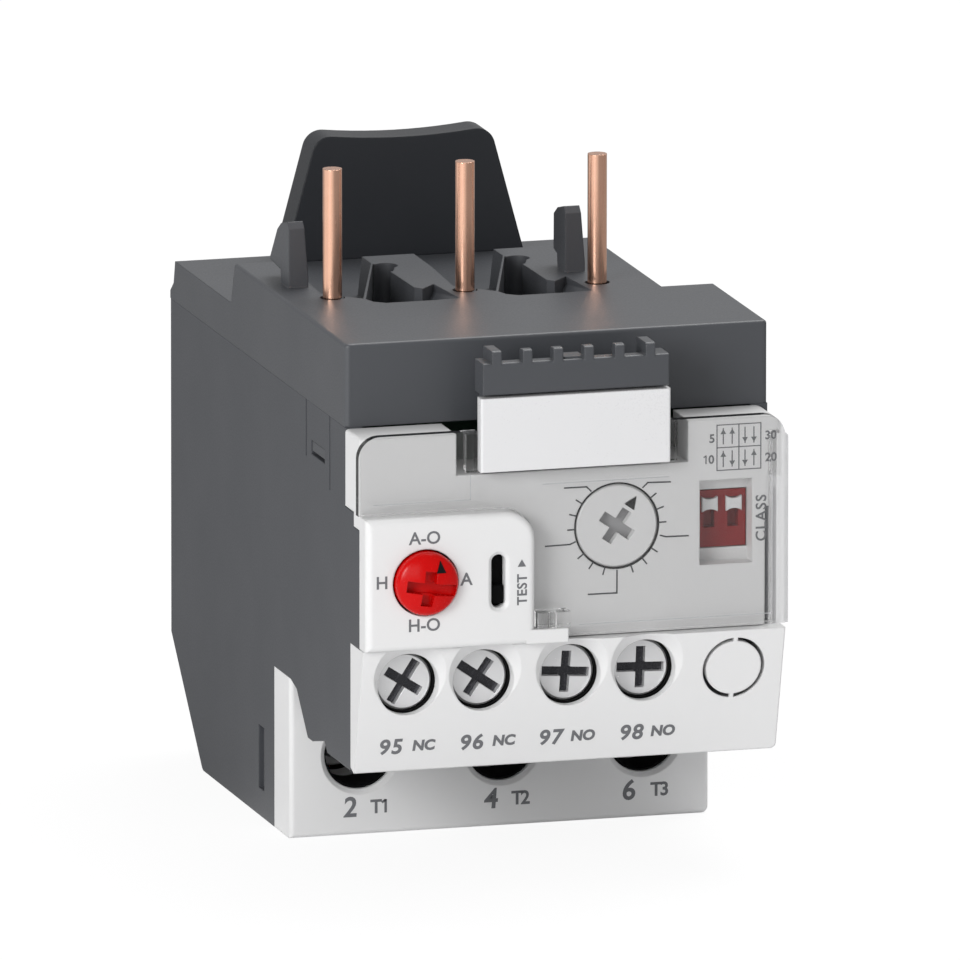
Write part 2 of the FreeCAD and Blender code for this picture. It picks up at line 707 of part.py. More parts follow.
def make_aux_terminal_block():
    top_front = front - aux_front_top
    low_front = front - aux_front_bottom
    low = overhang_height - 0.05
    plate = slab(
        [(aux_side, aux_top_z), (top_front, aux_top_z), (low_front, low), (aux_side, low + 0.4)], "x", -half, half)
    plate = plate.makeFillet(0.6, [
        e for e in plate.Edges
        if near(e.BoundBox.XMin, half) and e.BoundBox.ZMax < low + 0.5 and e.BoundBox.YLength > 1])
    rear_face = aux_clamp_rear() + 0.5
    core = block(
        -inner + fit_gap, inner - fit_gap, aux_side - 0.5, rear_face, floor_z + fit_gap, aux_top_z - 0.2)
    body = plate.fuse(core)
    radius = aux_hole_diameter / 2
    head_seat = front - aux_head_front + aux_head_height
    room_low = aux_screw_z - aux_clamp_height / 2 - 0.6
    room_high = aux_screw_z + aux_clamp_height / 2 + slide_gap
    half_room = aux_clamp_width / 2 + slide_gap
    cuts = []
    for x in aux_x:
        mouth = plate_front_at(aux_screw_z)
        cuts.append(rod(x, top_front - 1, aux_screw_z, radius, head_seat - top_front + 1.2, "y"))
        chamfer_radius = radius + aux_hole_chamfer
        cutter = cone_y(x, mouth - 2, aux_screw_z, chamfer_radius + 2, chamfer_radius - 0.75, 2.75)
        cuts.append(cutter)
        cuts.append(block(x - half_room, x + half_room, head_seat, rear_face + 1, room_low, room_high))
        cuts.append(block(x - 2.2, x + 2.2, aux_tongue_y() - 0.2, rear_face + 1, 0, aux_top_z + 1))
    # breakable disc over an empty chamber, held by two bridges
    mouth = plate_front_at(aux_screw_z - 0.15)
    ring_depth = knockout_skin + 0.5
    chamber = block(
        knockout_x - 3.0, knockout_x + 3.0, mouth + knockout_skin + 0.2, rear_face + 1, room_low, room_high)
    cuts.append(chamber.fuse(rod(
        knockout_x, mouth + knockout_skin, aux_screw_z - 0.15, knockout_diameter / 2, 2.0, "y")))
    for_ring = rod(knockout_x, mouth - 2, aux_screw_z - 0.15, knockout_diameter / 2, 2 + ring_depth, "y")
    for_ring = for_ring.cut(
        rod(knockout_x, mouth - 3, aux_screw_z - 0.15, knockout_diameter / 2 - knockout_groove, 9, "y"))
    bridge = block(
        knockout_x - knockout_bridge / 2, knockout_x + knockout_bridge / 2, mouth - 3, mouth + 9,
        aux_screw_z - knockout_diameter, aux_screw_z + knockout_diameter)
    cuts.append(for_ring.cut(bridge))
    cuts.append(stub_seat(aux_top_z - stub_reach))
    return body.cut(cuts).removeSplitter()


def plate_front_at(z):
    """front of the sloping terminal plate at a height"""
    top_front = front - aux_front_top
    low_front = front - aux_front_bottom
    low = overhang_height - 0.05
    return low_front + (top_front - low_front) * (z - low) / (aux_top_z - low)


# ---- front housing ----
def hinge_y():
    return front - cover_ahead + cover_thickness + hinge_behind_cover


def make_front_housing():
    low = aux_top_z + 0.1
    top = seam - seam_gap
    back = front + 2.4
    left_block = block(-half, gap_left, face, front, panel_top, top)
    left_block = rounded(left_block, block_corner, "y", lambda p: near(p.x, -half) and near(p.z, top))
    side_lip = block(-half, -inner + 0.4, face, front - 3.2, panel_top - 1.5, panel_top)
    right_block = block(gap_right, half, face, front, panel_top - 1.4, top)
    right_block = rounded(right_block, block_corner_hinge, "y", lambda p: near(p.x, half) and near(p.z, top))
    middle = block(-inner + fit_gap, inner - fit_gap, face, back, low, gap_floor)
    panel = block(-half, panel_right, panel_face, face, low, panel_top)
    panel = rounded(panel, panel_corner, "y", lambda p: near(p.x, panel_right) and near(p.z, panel_top))
    panel = panel.makeFillet(0.7, [e for e in panel.Edges if near(e.BoundBox.YMax, panel_face, 0.05)])
    ledge = block(panel_right - 1.0, ledge_right, panel_face, face, low, low + ledge_height)
    tube = rod(knob_x, panel_face + 1.0, knob_z, knob_diameter / 2 + knob_bore_gap + 0.7, 4.6, "y")
    solid = middle.fuse([left_block, side_lip, right_block, panel, ledge]).removeSplitter()
    # rooms behind the face, the panel and the two blocks
    deep = face + front_wall
    rooms = [
        block(-inner + 1.5, inner - 1.5, deep, back + 1, low + 1.5, gap_floor - 1.5),
        block(-half + wall + 0.2, panel_right - 1.5, panel_face + front_wall, deep + 0.1, low + 1.5, panel_top - 1.5),
        block(-half + 1.4, gap_left - 1.4, deep, front + 1, gap_floor - 1.6, top - 1.4),
        block(gap_right + 1.4, inner - 1.6, deep, front + 1, gap_floor - 1.6, top - 1.4),
    ]
    solid = solid.cut(rooms).fuse(tube)
    # thicker wall and window for the class switch
    half_recess = switch_recess_width / 2
    tall_recess = switch_recess_height / 2
    boss = block(
        switch_x - half_recess - 1.2, inner - 1.2, deep - 0.1, face + switch_sunk + 1.5,
        switch_z - tall_recess - 1.2, switch_z + tall_recess + 1.2)
    solid = solid.fuse(boss)
    recess = block(
        switch_x - half_recess, switch_x + half_recess, face - 1, face + switch_sunk,
        switch_z - tall_recess, switch_z + tall_recess)
    window = block(
        switch_x - switch_width / 2 - fit_gap, switch_x + switch_width / 2 + fit_gap, face, back + 2,
        switch_z - switch_height / 2 - fit_gap, switch_z + switch_height / 2 + fit_gap)
    dial_bore = rod(dial_x, face - 1, dial_z, dial_diameter / 2 + dial_bore_gap, 6, "y")
    knob_bore = rod(knob_x, panel_face - 1, knob_z, knob_diameter / 2 + knob_bore_gap, 9, "y")
    solid = solid.cut([recess, window, dial_bore, knob_bore, test_slot_cut()])
    # room for the cover's hinge flange and its swing
    cheek_room = block(inner, half + 1, front - 2.6, front + 1, low, panel_top)
    groove = block(
        flange_left - 0.4, half + 1, face - 1, hinge_y() + hinge_room, aux_top_z, flange_top + 0.3)
    return solid.cut([groove, cheek_room, stub_seat(flange_top), swing_relief()])


def swing_relief():
    """rounds the right block's front corner about the hinge axis, clear of the swinging cover"""
    radius = hinge_y() - face
    corner = block(hinge_x, half + 1, face - 1, hinge_y(), flange_top, seam)
    return corner.cut(rod(hinge_x, hinge_y(), flange_top, radius, seam - flange_top, "z"))


def stub_seat(low):
    """a blind hole on the hinge axis, for one stub of the cover"""
    return rod(hinge_x, hinge_y(), low - 0.2, stub_diameter / 2 + 0.02, stub_reach + 0.5, "z")


def slot_outline(y, radius):
    """an upright outline with round ends, in the plane at y"""
    straight = (test_slot_height - test_slot_width) / 2
    low, high = test_z - straight, test_z + straight
    left, right = test_x - radius, test_x + radius
    edges = [
        Part.makeLine(Vector(left, y, low), Vector(left, y, high)),
        Part.Arc(Vector(left, y, high), Vector(test_x, y, high + radius), Vector(right, y, high)).toShape(),
        Part.makeLine(Vector(right, y, high), Vector(right, y, low)),
        Part.Arc(Vector(right, y, low), Vector(test_x, y, low - radius), Vector(left, y, low)).toShape(),
    ]
    return Part.Wire(edges)


def test_slot_cut():
    """a round-ended slot with a chamfered mouth"""
    radius = test_slot_width / 2
    through = Part.Face(slot_outline(panel_face - 1, radius)).extrude(Vector(0, 13, 0))
    mouth = Part.makeLoft([slot_outline(panel_face - 0.2, radius + 0.55), slot_outline(panel_face + 0.35, radius)], True)
    return through.fuse(mouth)


# ---- controls ----
def make_reset_knob():
    y = front - knob_ahead
    knob = rod(knob_x, y, knob_z, knob_diameter / 2, knob_depth, "y")
    knob = knob.makeChamfer(0.45, [e for e in knob.Edges if near(e.BoundBox.YMax, y)])
    bore = rod(knob_x, y + 2.2, knob_z, spigot_diameter / 2 + running_gap, knob_depth, "y")
    recess = cross_recess(knob_x, y, knob_z - 0.35, knob_drive_length, knob_drive_width, drive_depth, 8)
    pointer = pointer_recess(knob_x, y, knob_z, knob_diameter / 2 - 0.5, 1.15, drive_depth / 2, knob_pointer_angle)
    return knob.cut([bore, recess, pointer])


def plunger_front():
    return front - knob_ahead + knob_depth


def make_reset_plunger():
    """stem that the knob turns on and pushes, with a collar for its spring"""
    start = plunger_front()
    end = main_board_y + board_thickness + 0.5
    stem = rod(knob_x, start, knob_z, plunger_diameter / 2, end - start, "y")
    spigot = rod(knob_x, front - knob_ahead + 2.5, knob_z, spigot_diameter / 2, start + 0.2 - (front - knob_ahead + 2.5), "y")
    collar = rod(knob_x, start, knob_z, plunger_diameter / 2 + 1.1, 1.2, "y")
    return stem.fuse([spigot, collar]).removeSplitter()


def make_coil_spring(x, z, start, end, radius, turns):
    """a helical compression spring along Y, wound in short straight runs"""
    runs_per_turn = 10
    sides = 8
    length = end - start - spring_wire
    corners = []
    for i in range(runs_per_turn * turns + 1):
        angle = 2 * math.pi * i / runs_per_turn
        along = start + spring_wire / 2 + length * i / (runs_per_turn * turns)
        corners.append(Vector(x + radius * math.cos(angle), along, z + radius * math.sin(angle)))
    way = corners[1] - corners[0]
    across = way.cross(Vector(0, 1, 0)).normalize()
    upward = way.cross(across).normalize()
    ring = []
    for i in range(sides):
        angle = 2 * math.pi * i / sides
        offset = across * math.cos(angle) + upward * math.sin(angle)
        ring.append(corners[0] + offset * (spring_wire / 2))
    section = Part.makePolygon(ring + ring[:1])
    return Part.makePolygon(corners).makePipeShell([section], True, False, 1)


def make_reset_spring():
    start = plunger_front() + 1.2 + 0.1
    return make_coil_spring(knob_x, knob_z, start, main_board_y - 0.1, plunger_diameter / 2 + 0.55, 4)


def test_plate_y():
    return panel_face + front_wall + slide_gap


def make_test_slider():
    """a slide behind the panel whose nose is pushed with a screwdriver"""
    y = test_plate_y()
    low = test_z - 4.6
    plate = block(test_x - 1.5, test_x + 1.5, y, y + 1.0, low, test_z + 3.4)
    nose = block(test_x - 0.6, test_x + 0.6, panel_face + 0.7, y + 0.5, test_z - 2.5, test_z - 0.5)
    nose = rounded(nose, 0.3, "x", lambda p: near(p.y, panel_face + 0.7))
    arm = block(test_x - 1.5, test_x + 1.5, y + 0.5, y + 3.0, low, low + 1.2)
    return plate.fuse([nose, arm]).removeSplitter()


def make_setting_dial():
    disc = rod(dial_x, face, dial_z, dial_diameter / 2, dial_depth, "y")
    disc = disc.makeChamfer(0.2, [e for e in disc.Edges if near(e.BoundBox.YMax, face)])
    shaft = rod(dial_x, face + dial_depth, dial_z, dial_shaft_diameter / 2, pot_front() + 3.0 - face - dial_depth, "y")
    recess = cross_recess(
        dial_x, face, dial_z, dial_drive_length, dial_drive_width, drive_depth, dial_pointer_angle)
    pointer = pointer_recess(
        dial_x, face, dial_z, dial_diameter / 2 - 0.7, 1.3, drive_depth / 3, dial_pointer_angle)
    return disc.fuse(shaft).cut([recess, pointer]).removeSplitter()


def pot_front():
    return main_board_y - pot_height


def make_setting_potentiometer():
    reach = pot_size / 2
    body = block(dial_x - reach, dial_x + reach, pot_front(), main_board_y, dial_z - reach, dial_z + reach)
    body = rounded(body, 0.8, "y", lambda p: True)
    bore = rod(dial_x, pot_front() - 1, dial_z, dial_shaft_diameter / 2 + running_gap, 4.3, "y")
    return body.cut(bore)


def switch_face():
    return face + switch_sunk


def slider_x():
    return [switch_x - slider_pitch / 2, switch_x + slider_pitch / 2]


def slider_top():
    return switch_z + switch_height / 2 - 0.6


def make_switch_body():
    y = switch_face()
    body = block(
        switch_x - switch_width / 2, switch_x + switch_width / 2, y, main_board_y,
        switch_z - switch_height / 2, switch_z + switch_height / 2)
    high = slider_top() - 0.2
    low = slider_top() - slider_height - slider_travel - 0.1
    slots = [block(x - slider_slot / 2, x + slider_slot / 2, y - 1, y + 1.1, low, high) for x in slider_x()]
    return body.cut(slots)


def make_switch_slider(x):
    """a mushroom slide: head on the face, stem in the slot"""
    y = switch_face()
    high = slider_top()
    low = high - slider_height
    outline = [
        Vector(x - slider_width / 2, 0, low), Vector(x - slider_width / 2, 0, high),
        Vector(x + slider_width / 2, 0, high), Vector(x + slider_width / 2, 0, low),
    ]
    dip = 0.28
    edges = [
        Part.makeLine(outline[0], outline[1]),
        Part.Arc(outline[1], Vector(x, 0, high - dip), outline[2]).toShape(),
        Part.makeLine(outline[2], outline[3]),
        Part.Arc(outline[3], Vector(x, 0, low + dip), outline[0]).toShape(),
    ]
    head = Part.Face(Part.Wire(edges)).extrude(Vector(0, slider_proud, 0))
    head.translate(Vector(0, y - slider_proud - 0.02, 0))
    stem = block(x - slider_slot / 2 + 0.06, x + slider_slot / 2 - 0.06, y - 0.1, y + 0.9, low + 0.3, high - 0.35)
    return head.fuse(stem).removeSplitter()


def make_main_board():
    board = block(
        -inner + fit_gap, inner - fit_gap, main_board_y, main_board_y + board_thickness, contact_top_z + 0.9, seam - 0.6)
    hole = rod(knob_x, main_board_y - 1, knob_z, plunger_diameter / 2 + 0.25, board_thickness + 2, "y")
    return board.cut(hole)


# ---- clear cover ----
def make_clear_cover():
    outer_y = front - cover_ahead
    inner_y = outer_y + cover_thickness
    plate = block(cover_left, cover_right, outer_y, inner_y, cover_bottom, cover_top)
    plate = rounded(plate, 2.3, "y", lambda p: near(p.z, cover_top))
    around = 0.15
    panel_gap = block(
        cover_left - 1, panel_right + around, outer_y - 1, inner_y + 1, cover_bottom - 1, panel_top + around)
    panel_gap = rounded(
        panel_gap, panel_corner + around, "y", lambda p: near(p.x, panel_right + around) and near(p.z, panel_top + around))
    ledge_gap = block(
        panel_right - 1, ledge_right + around, outer_y - 1, inner_y + 1, cover_bottom - 1, aux_top_z + 0.1 + ledge_height + around)
    beside = label_half_width + around
    label_gap = block(-beside, beside, outer_y - 1, inner_y + 1, label_bottom - 0.2, cover_top + 1)
    plate = plate.cut([panel_gap, ledge_gap, label_gap])
    ribs = []
    for side in (-1, 1):
        x0, x1 = sorted((side * beside, side * (beside + 1.0)))
        ribs.append(block(x0, x1, inner_y - 0.1, inner_y + 1.2, label_bottom - 0.2, cover_top - 0.4))
    # sealing lug on the ledge corner
    lug_low = aux_top_z + 0.1 + ledge_height + around
    lug = block(panel_right + around, ledge_right + 0.2, panel_face - 0.4, outer_y + 0.1, lug_low, lug_low + 1.6)
    lug = rounded(lug, 0.4, "z", lambda p: near(p.y, panel_face - 0.4))
    seal_hole = rod((panel_right + ledge_right) / 2 + 0.1, (panel_face - 0.4 + outer_y) / 2, lug_low - 1, 0.5, 4, "z")
    # flange at the right edge, with a stub at each end
    flange = block(flange_left, flange_right, flange_front, flange_rear, flange_bottom, flange_top)
    flange = rounded(flange, 0.45, "y", lambda p: near(p.x, flange_right) and near(p.z, flange_top))
    stub_length = stub_reach + 1.0
    y = hinge_y()
    stubs = [
        rod(hinge_x, y, z, stub_diameter / 2, stub_length, "z")
        for z in (aux_top_z - stub_reach + 0.1, flange_top + 0.3 - 0.1 - 1.0)
    ]
    return plate.fuse(ribs + [lug.cut(seal_hole), flange] + stubs).removeSplitter()


# ---- marker holder and label ----
def make_marker_holder():
    face_y = front - label_ahead
    lip = block(-holder_half_width, holder_half_width, face_y, face_y + holder_lip, holder_bottom, holder_top)
    lip = rounded(lip, 0.3, "x", lambda p: near(p.y, face_y))
    pieces = [lip]
    floor_part = block(
        -holder_foot_half_width, holder_foot_half_width, face_y + holder_lip - 0.1, front,
        holder_bottom, holder_bottom + 1.0)
    pieces.append(floor_part)
    end_width = 1.6
    for side in (-1, 1):
        x0, x1 = sorted((side * holder_half_width, side * (holder_half_width - end_width)))
        pieces.append(block(x0, x1, face_y + 0.4, face_y + holder_depth, holder_bottom, holder_top))
    pieces.append(block(-1.2, 0.9, face_y + 0.4, face_y + 2.6, holder_bottom, holder_top + 0.2))
    first = -rib_pitch * (rib_count - 1) / 2 - 0.25
    for i in range(rib_count):
        x = first + rib_pitch * i
        depth = 3.5 if i in (0, rib_count - 1) else 1.4
        rib = block(
            x - rib_width / 2, x + rib_width / 2, face_y, face_y + depth, holder_bottom + 1.0, holder_top + rib_rise)
        rib = rounded(rib, 0.4, "x", lambda p: near(p.z, holder_top + rib_rise))
        pieces.append(rib)
    # leg behind the label, standing on the front housing
    leg_y = face_y + label_thickness
    leg_half = label_half_width - 0.6
    pieces.append(block(-leg_half, leg_half, leg_y, leg_y + 1.5, label_bottom, holder_bottom + 0.5))
    pieces.append(block(-leg_half, leg_half, face + fit_gap, leg_y + 1.5, gap_floor, label_bottom + 0.1))
    return pieces[0].fuse(pieces[1:]).removeSplitter()


def make_label_plate():
    y = front - label_ahead
    plate = block(-label_half_width, label_half_width, y, y + label_thickness, label_bottom, label_top)
    return rounded(plate, 0.25, "z", lambda p: near(p.y, y))


# ---- trip mechanism ----
def carrier_y():
    return carrier_front + carrier_thickness / 2


def carrier_top():
    return contact_top_z + 3.7


def guide_x():
    return [aux_x[0] - 1.3, coil_x - 4.9]


def make_contact_carrier():
    """slide with two windows that hold the moving bridges"""
    left, right = guide_x()
    y0 = carrier_front
    y1 = carrier_front + carrier_thickness
    high = carrier_top()
    waist = contact_top_z + 1.3
    closed_middle = (aux_x[0] + aux_x[1]) / 2
    open_middle = (aux_x[2] + aux_x[3]) / 2
    closed_z = contact_top_z + pad_height
    open_z = open_bridge_z()
    pieces = [
        block(left, right, y0, y1, waist, high),
        block(closed_middle - 1.8, open_middle + 1.8, y0, y1, open_z - 1.0, high),
        block(right, coil_x + 1.8, coil_y - 1.4, y1, waist, high),
        block(closed_middle - 1.6, closed_middle + 1.6, contact_y - 1.6, y0 + 0.1, closed_z - 0.9, closed_z + 2.6),
        block(open_middle - 1.6, open_middle + 1.6, contact_y - 1.6, y0 + 0.1, open_z - 1.0, open_z + 1.8),
    ]
    for x in guide_x():
        pieces.append(rod(x, carrier_y(), waist, guide_diameter / 2 + 0.8, high - waist, "z"))
    carrier = pieces[0].fuse(pieces[1:])
    cuts = [bridge_bar(closed_middle, closed_z), bridge_bar(open_middle, open_z)]
    for x in guide_x():
        cuts.append(rod(x, carrier_y(), open_z - 2, guide_diameter / 2 + running_gap, high - open_z + 4, "z"))
    return carrier.cut(cuts).removeSplitter()


def open_bridge_z():
    return contact_top_z - aux_tongue_thickness - pad_height - contact_gap - bridge_thickness


def bridge_bar(middle, z):
    reach = aux_pair_pitch / 2 + 1.2
    return block(middle - reach, middle + reach, contact_y - 0.9, contact_y + 0.9, z, z + bridge_thickness)


def make_closed_bridge():
    return bridge_bar((aux_x[0] + aux_x[1]) / 2, contact_top_z + pad_height)


def make_open_bridge():
    return bridge_bar((aux_x[2] + aux_x[3]) / 2, open_bridge_z())


def make_trip_coil():
    """a wound bobbin with flanges, standing on its seat"""
    bobbin = rod(coil_x, coil_y, coil_base, coil_outer / 2, coil_height, "z")
    for z in (coil_base, coil_base + coil_height - 1.0):
        bobbin = bobbin.fuse(rod(coil_x, coil_y, z, coil_outer / 2 + coil_flange, 1.0, "z"))
    bore = rod(coil_x, coil_y, coil_base + 1.2, 1.2 + running_gap, coil_height, "z")
    return bobbin.cut(bore).removeSplitter()


def make_trip_plunger():
    low = coil_base + 1.5
    return rod(coil_x, coil_y, low, 1.2, contact_top_z + 1.3 - low, "z")


# ---- write the files ----
def build_all():
    parts = {
        "main_housing": make_main_housing(),
        "top_cap": make_top_cap(),
        "support_tab": make_support_tab(),
        "front_housing": make_front_housing(),
        "aux_terminal_block": make_aux_terminal_block(),
        "terminal_shroud": make_terminal_shroud(),
        "clear_cover": make_clear_cover(),
        "marker_holder": make_marker_holder(),
        "label_plate": make_label_plate(),
        "reset_knob": make_reset_knob(),
        "reset_plunger": make_reset_plunger(),
        "reset_spring": make_reset_spring(),
        "test_slider": make_test_slider(),
        "setting_dial": make_setting_dial(),
        "setting_potentiometer": make_setting_potentiometer(),
        "class_switch_body": make_switch_body(),
        "main_circuit_board": make_main_board(),
        "transformer_board": make_transformer_board(),
        "contact_carrier": make_contact_carrier(),
        "closed_contact_bridge": make_closed_bridge(),
        "open_contact_bridge": make_open_bridge(),
        "trip_coil": make_trip_coil(),
        "trip_plunger": make_trip_plunger(),
    }
    for i, x in enumerate(slider_x()):
        parts[f"class_slider_{i + 1}"] = make_switch_slider(x)
    for i, (pin, load) in enumerate(zip(pins_x, loads_x)):
        parts[f"line_conductor_{i + 1}"] = make_line_conductor(pin, load)
        parts[f"current_transformer_{i + 1}"] = make_transformer(pin)
        parts[f"load_screw_{i + 1}"] = make_load_screw(load)
        parts[f"load_clamp_{i + 1}"] = make_load_clamp(load)
    for i, x in enumerate(aux_x):
        parts[f"aux_screw_{i + 1}"] = make_aux_screw(x, aux_drive_angles[i])
        parts[f"aux_clamp_{i + 1}"] = make_aux_clamp(x)
        parts[f"aux_contact_{i + 1}"] = make_aux_contact(x, i < 2)
    return parts


os.makedirs("parts", exist_ok=True)
for name, shape in build_all().items():
    solids = shape.Solids
    whole = solids[0] if len(solids) == 1 else Part.makeCompound(solids)
    whole.exportStep(f"parts/{name}.step")
    print(f"{name:24s} solids {len(solids)} valid {shape.isValid()} volume {shape.Volume:9.1f}")
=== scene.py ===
import bpy
import bmesh
from math import radians, degrees, pi, sin, cos
from mathutils import Matrix, Vector


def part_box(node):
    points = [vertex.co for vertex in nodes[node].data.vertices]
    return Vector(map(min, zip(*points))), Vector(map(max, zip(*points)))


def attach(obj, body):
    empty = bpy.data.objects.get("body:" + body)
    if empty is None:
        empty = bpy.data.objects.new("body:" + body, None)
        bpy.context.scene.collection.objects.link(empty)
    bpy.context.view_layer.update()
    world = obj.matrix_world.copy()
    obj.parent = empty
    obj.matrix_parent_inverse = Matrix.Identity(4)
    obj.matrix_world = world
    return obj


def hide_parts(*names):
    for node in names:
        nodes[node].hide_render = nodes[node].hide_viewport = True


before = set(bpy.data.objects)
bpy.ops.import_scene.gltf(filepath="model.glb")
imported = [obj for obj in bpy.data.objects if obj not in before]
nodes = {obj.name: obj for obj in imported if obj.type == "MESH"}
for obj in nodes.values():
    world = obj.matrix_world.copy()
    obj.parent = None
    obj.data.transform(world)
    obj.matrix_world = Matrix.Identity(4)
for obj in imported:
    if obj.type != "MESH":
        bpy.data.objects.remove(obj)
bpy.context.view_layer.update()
mm = 0.001
print("frame loaded,", len(nodes), "nodes")


def tone(r, g, b, a=1.0):  # display values 0-255 to linear light
    def lin(v):
        v = v / 255
        return v / 12.92 if v <= 0.04045 else ((v + 0.055) / 1.055) ** 2.4
    return (lin(r), lin(g), lin(b), a)


def seat(node):
    # middle in x and z, and front, of a node in mm; rounded, because a round mesh's box is a little uneven
    low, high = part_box(node)
    return tuple(round(v / mm, 2) for v in ((low.x + high.x) / 2, (low.z + high.z) / 2, low.y))


# shader nodes
def noiseNode(tree, vector, scale, detail=2.0, rough=0.5):
    node = tree.nodes.new("ShaderNodeTexNoise")
    node.inputs["Scale"].default_value = scale
    node.inputs["Detail"].default_value = detail
    node.inputs["Roughness"].default_value = rough
    tree.links.new(vector, node.inputs["Vector"])
    return node.outputs["Fac"]


def mathNode(tree, operation, a, b, clamp=False):
    node = tree.nodes.new("ShaderNodeMath")
    node.operation = operation
    node.use_clamp = clamp
    for socket, value in ((node.inputs[0], a), (node.inputs[1], b)):
        if isinstance(value, (int, float)):
            socket.default_value = value
        else:
            tree.links.new(value, socket)
    return node.outputs[0]


def rangeNode(tree, value, start, end, low, high, kind="LINEAR"):
    # value from start to end becomes low to high, and stays there beyond them
    node = tree.nodes.new("ShaderNodeMapRange")
    node.interpolation_type = kind
    for label, number in (("From Min", start), ("From Max", end), ("To Min", low), ("To Max", high)):
        node.inputs[label].default_value = number
    tree.links.new(value, node.inputs["Value"])
    return node.outputs["Result"]


def mixNode(tree, share, first, second):
    node = tree.nodes.new("ShaderNodeMixShader")
    for socket, output in zip(node.inputs, (share, first, second)):
        tree.links.new(output, socket)
    return node.outputs[0]


# shader groups: both put out a colour, a roughness and a normal
def newGroup(name, inputs):
    tree = bpy.data.node_groups.new(name, "ShaderNodeTree")
    for label, kind, default in inputs:
        socket = tree.interface.new_socket(label, in_out="INPUT", socket_type=kind)
        socket.default_value = default
    results = {"Color": "NodeSocketColor", "Roughness": "NodeSocketFloat", "Normal": "NodeSocketVector"}
    for label, kind in results.items():
        tree.interface.new_socket(label, in_out="OUTPUT", socket_type=kind)
    return tree, tree.nodes.new("NodeGroupInput"), tree.nodes.new("NodeGroupOutput")


def addRelief(tree, source, sink, height, strength, depth):
    # softened edges, with the fine relief of the surface laid over them
    soften = tree.nodes.new("ShaderNodeBevel")
    soften.samples = 5
    tree.links.new(source.outputs["Edge"], soften.inputs["Radius"])
    bump = tree.nodes.new("ShaderNodeBump")
    bump.inputs["Distance"].default_value = depth * mm
    tree.links.new(source.outputs[strength], bump.inputs["Strength"])
    tree.links.new(height, bump.inputs["Height"])
    tree.links.new(soften.outputs["Normal"], bump.inputs["Normal"])
    tree.links.new(bump.outputs["Normal"], sink.inputs["Normal"])


def makeMouldedSkin():
    # fine erosion of a plastic mould: speckle in the colour, and grain in the normal
    spec = {"grainScale": 5200.0, "grainDetail": 3.0, "cloudScale": 90.0, "cloudShare": 0.4,
            "mottleGain": 4.0, "roughSwing": 0.35, "relief": 0.02}
    tree, source, sink = newGroup("mouldedSkin", [
        ("Color", "NodeSocketColor", (0.5, 0.5, 0.5, 1)), ("Mottle", "NodeSocketFloat", 0.05),
        ("Roughness", "NodeSocketFloat", 0.4), ("Grain Depth", "NodeSocketFloat", 0.2),
        ("Edge", "NodeSocketFloat", 0.00015)])
    link = tree.links.new
    place = tree.nodes.new("ShaderNodeTexCoord").outputs["Object"]
    grain = noiseNode(tree, place, spec["grainScale"], spec["grainDetail"])
    cloud = noiseNode(tree, place, spec["cloudScale"])
    both = mathNode(tree, "ADD", mathNode(tree, "MULTIPLY", cloud, spec["cloudShare"]),
                    mathNode(tree, "MULTIPLY", grain, 1 - spec["cloudShare"]))
    shift = mathNode(tree, "SUBTRACT", both, 0.5)
    gain = mathNode(tree, "MULTIPLY", source.outputs["Mottle"], spec["mottleGain"])
    tint = tree.nodes.new("ShaderNodeHueSaturation")
    link(source.outputs["Color"], tint.inputs["Color"])
    link(mathNode(tree, "ADD", mathNode(tree, "MULTIPLY", shift, gain), 1.0), tint.inputs["Value"])
    link(tint.outputs["Color"], sink.inputs["Color"])
    spread = mathNode(tree, "MULTIPLY", shift, spec["roughSwing"])
    link(mathNode(tree, "ADD", source.outputs["Roughness"], spread, True), sink.inputs["Roughness"])
    addRelief(tree, source, sink, grain, "Grain Depth", spec["relief"])
    return tree


def makeDrawnMetal():
    # fine lines left by drawing, turning or stamping, stretched by the mapping's scale
    spec = {"cloudScale": 500.0, "cloudDetail": 4.0, "lineDetail": 3.0, "noiseRough": 0.6,
            "roughSwing": 0.3, "relief": 0.01}
    tree, source, sink = newGroup("drawnMetal", [
        ("Color", "NodeSocketColor", (0.8, 0.8, 0.8, 1)), ("Roughness", "NodeSocketFloat", 0.25),
        ("Tarnish", "NodeSocketColor", (0.4, 0.4, 0.4, 1)), ("Tarnish Amount", "NodeSocketFloat", 0.1),
        ("Lines", "NodeSocketVector", (3000, 3000, 200)), ("Line Depth", "NodeSocketFloat", 0.2),
        ("Edge", "NodeSocketFloat", 0.0001)])
    link = tree.links.new
    place = tree.nodes.new("ShaderNodeTexCoord").outputs["Object"]
    stretch = tree.nodes.new("ShaderNodeMapping")
    link(place, stretch.inputs["Vector"])
    link(source.outputs["Lines"], stretch.inputs["Scale"])
    lines = noiseNode(tree, stretch.outputs["Vector"], 1.0, spec["lineDetail"], spec["noiseRough"])
    cloud = noiseNode(tree, place, spec["cloudScale"], spec["cloudDetail"], spec["noiseRough"])
    both = mathNode(tree, "ADD", lines, cloud)
    mask = mathNode(tree, "MULTIPLY", both, source.outputs["Tarnish Amount"], True)
    mix = tree.nodes.new("ShaderNodeMix")
    mix.data_type = "RGBA"
    link(mask, mix.inputs[0])
    link(source.outputs["Color"], mix.inputs[6])
    link(source.outputs["Tarnish"], mix.inputs[7])
    link(mix.outputs[2], sink.inputs["Color"])
    spread = mathNode(tree, "MULTIPLY", mathNode(tree, "SUBTRACT", lines, 0.5), spec["roughSwing"])
    link(mathNode(tree, "ADD", source.outputs["Roughness"], spread, True), sink.inputs["Roughness"])
    addRelief(tree, source, sink, lines, "Line Depth", spec["relief"])
    return tree


mouldedSkin = makeMouldedSkin()
drawnMetal = makeDrawnMetal()


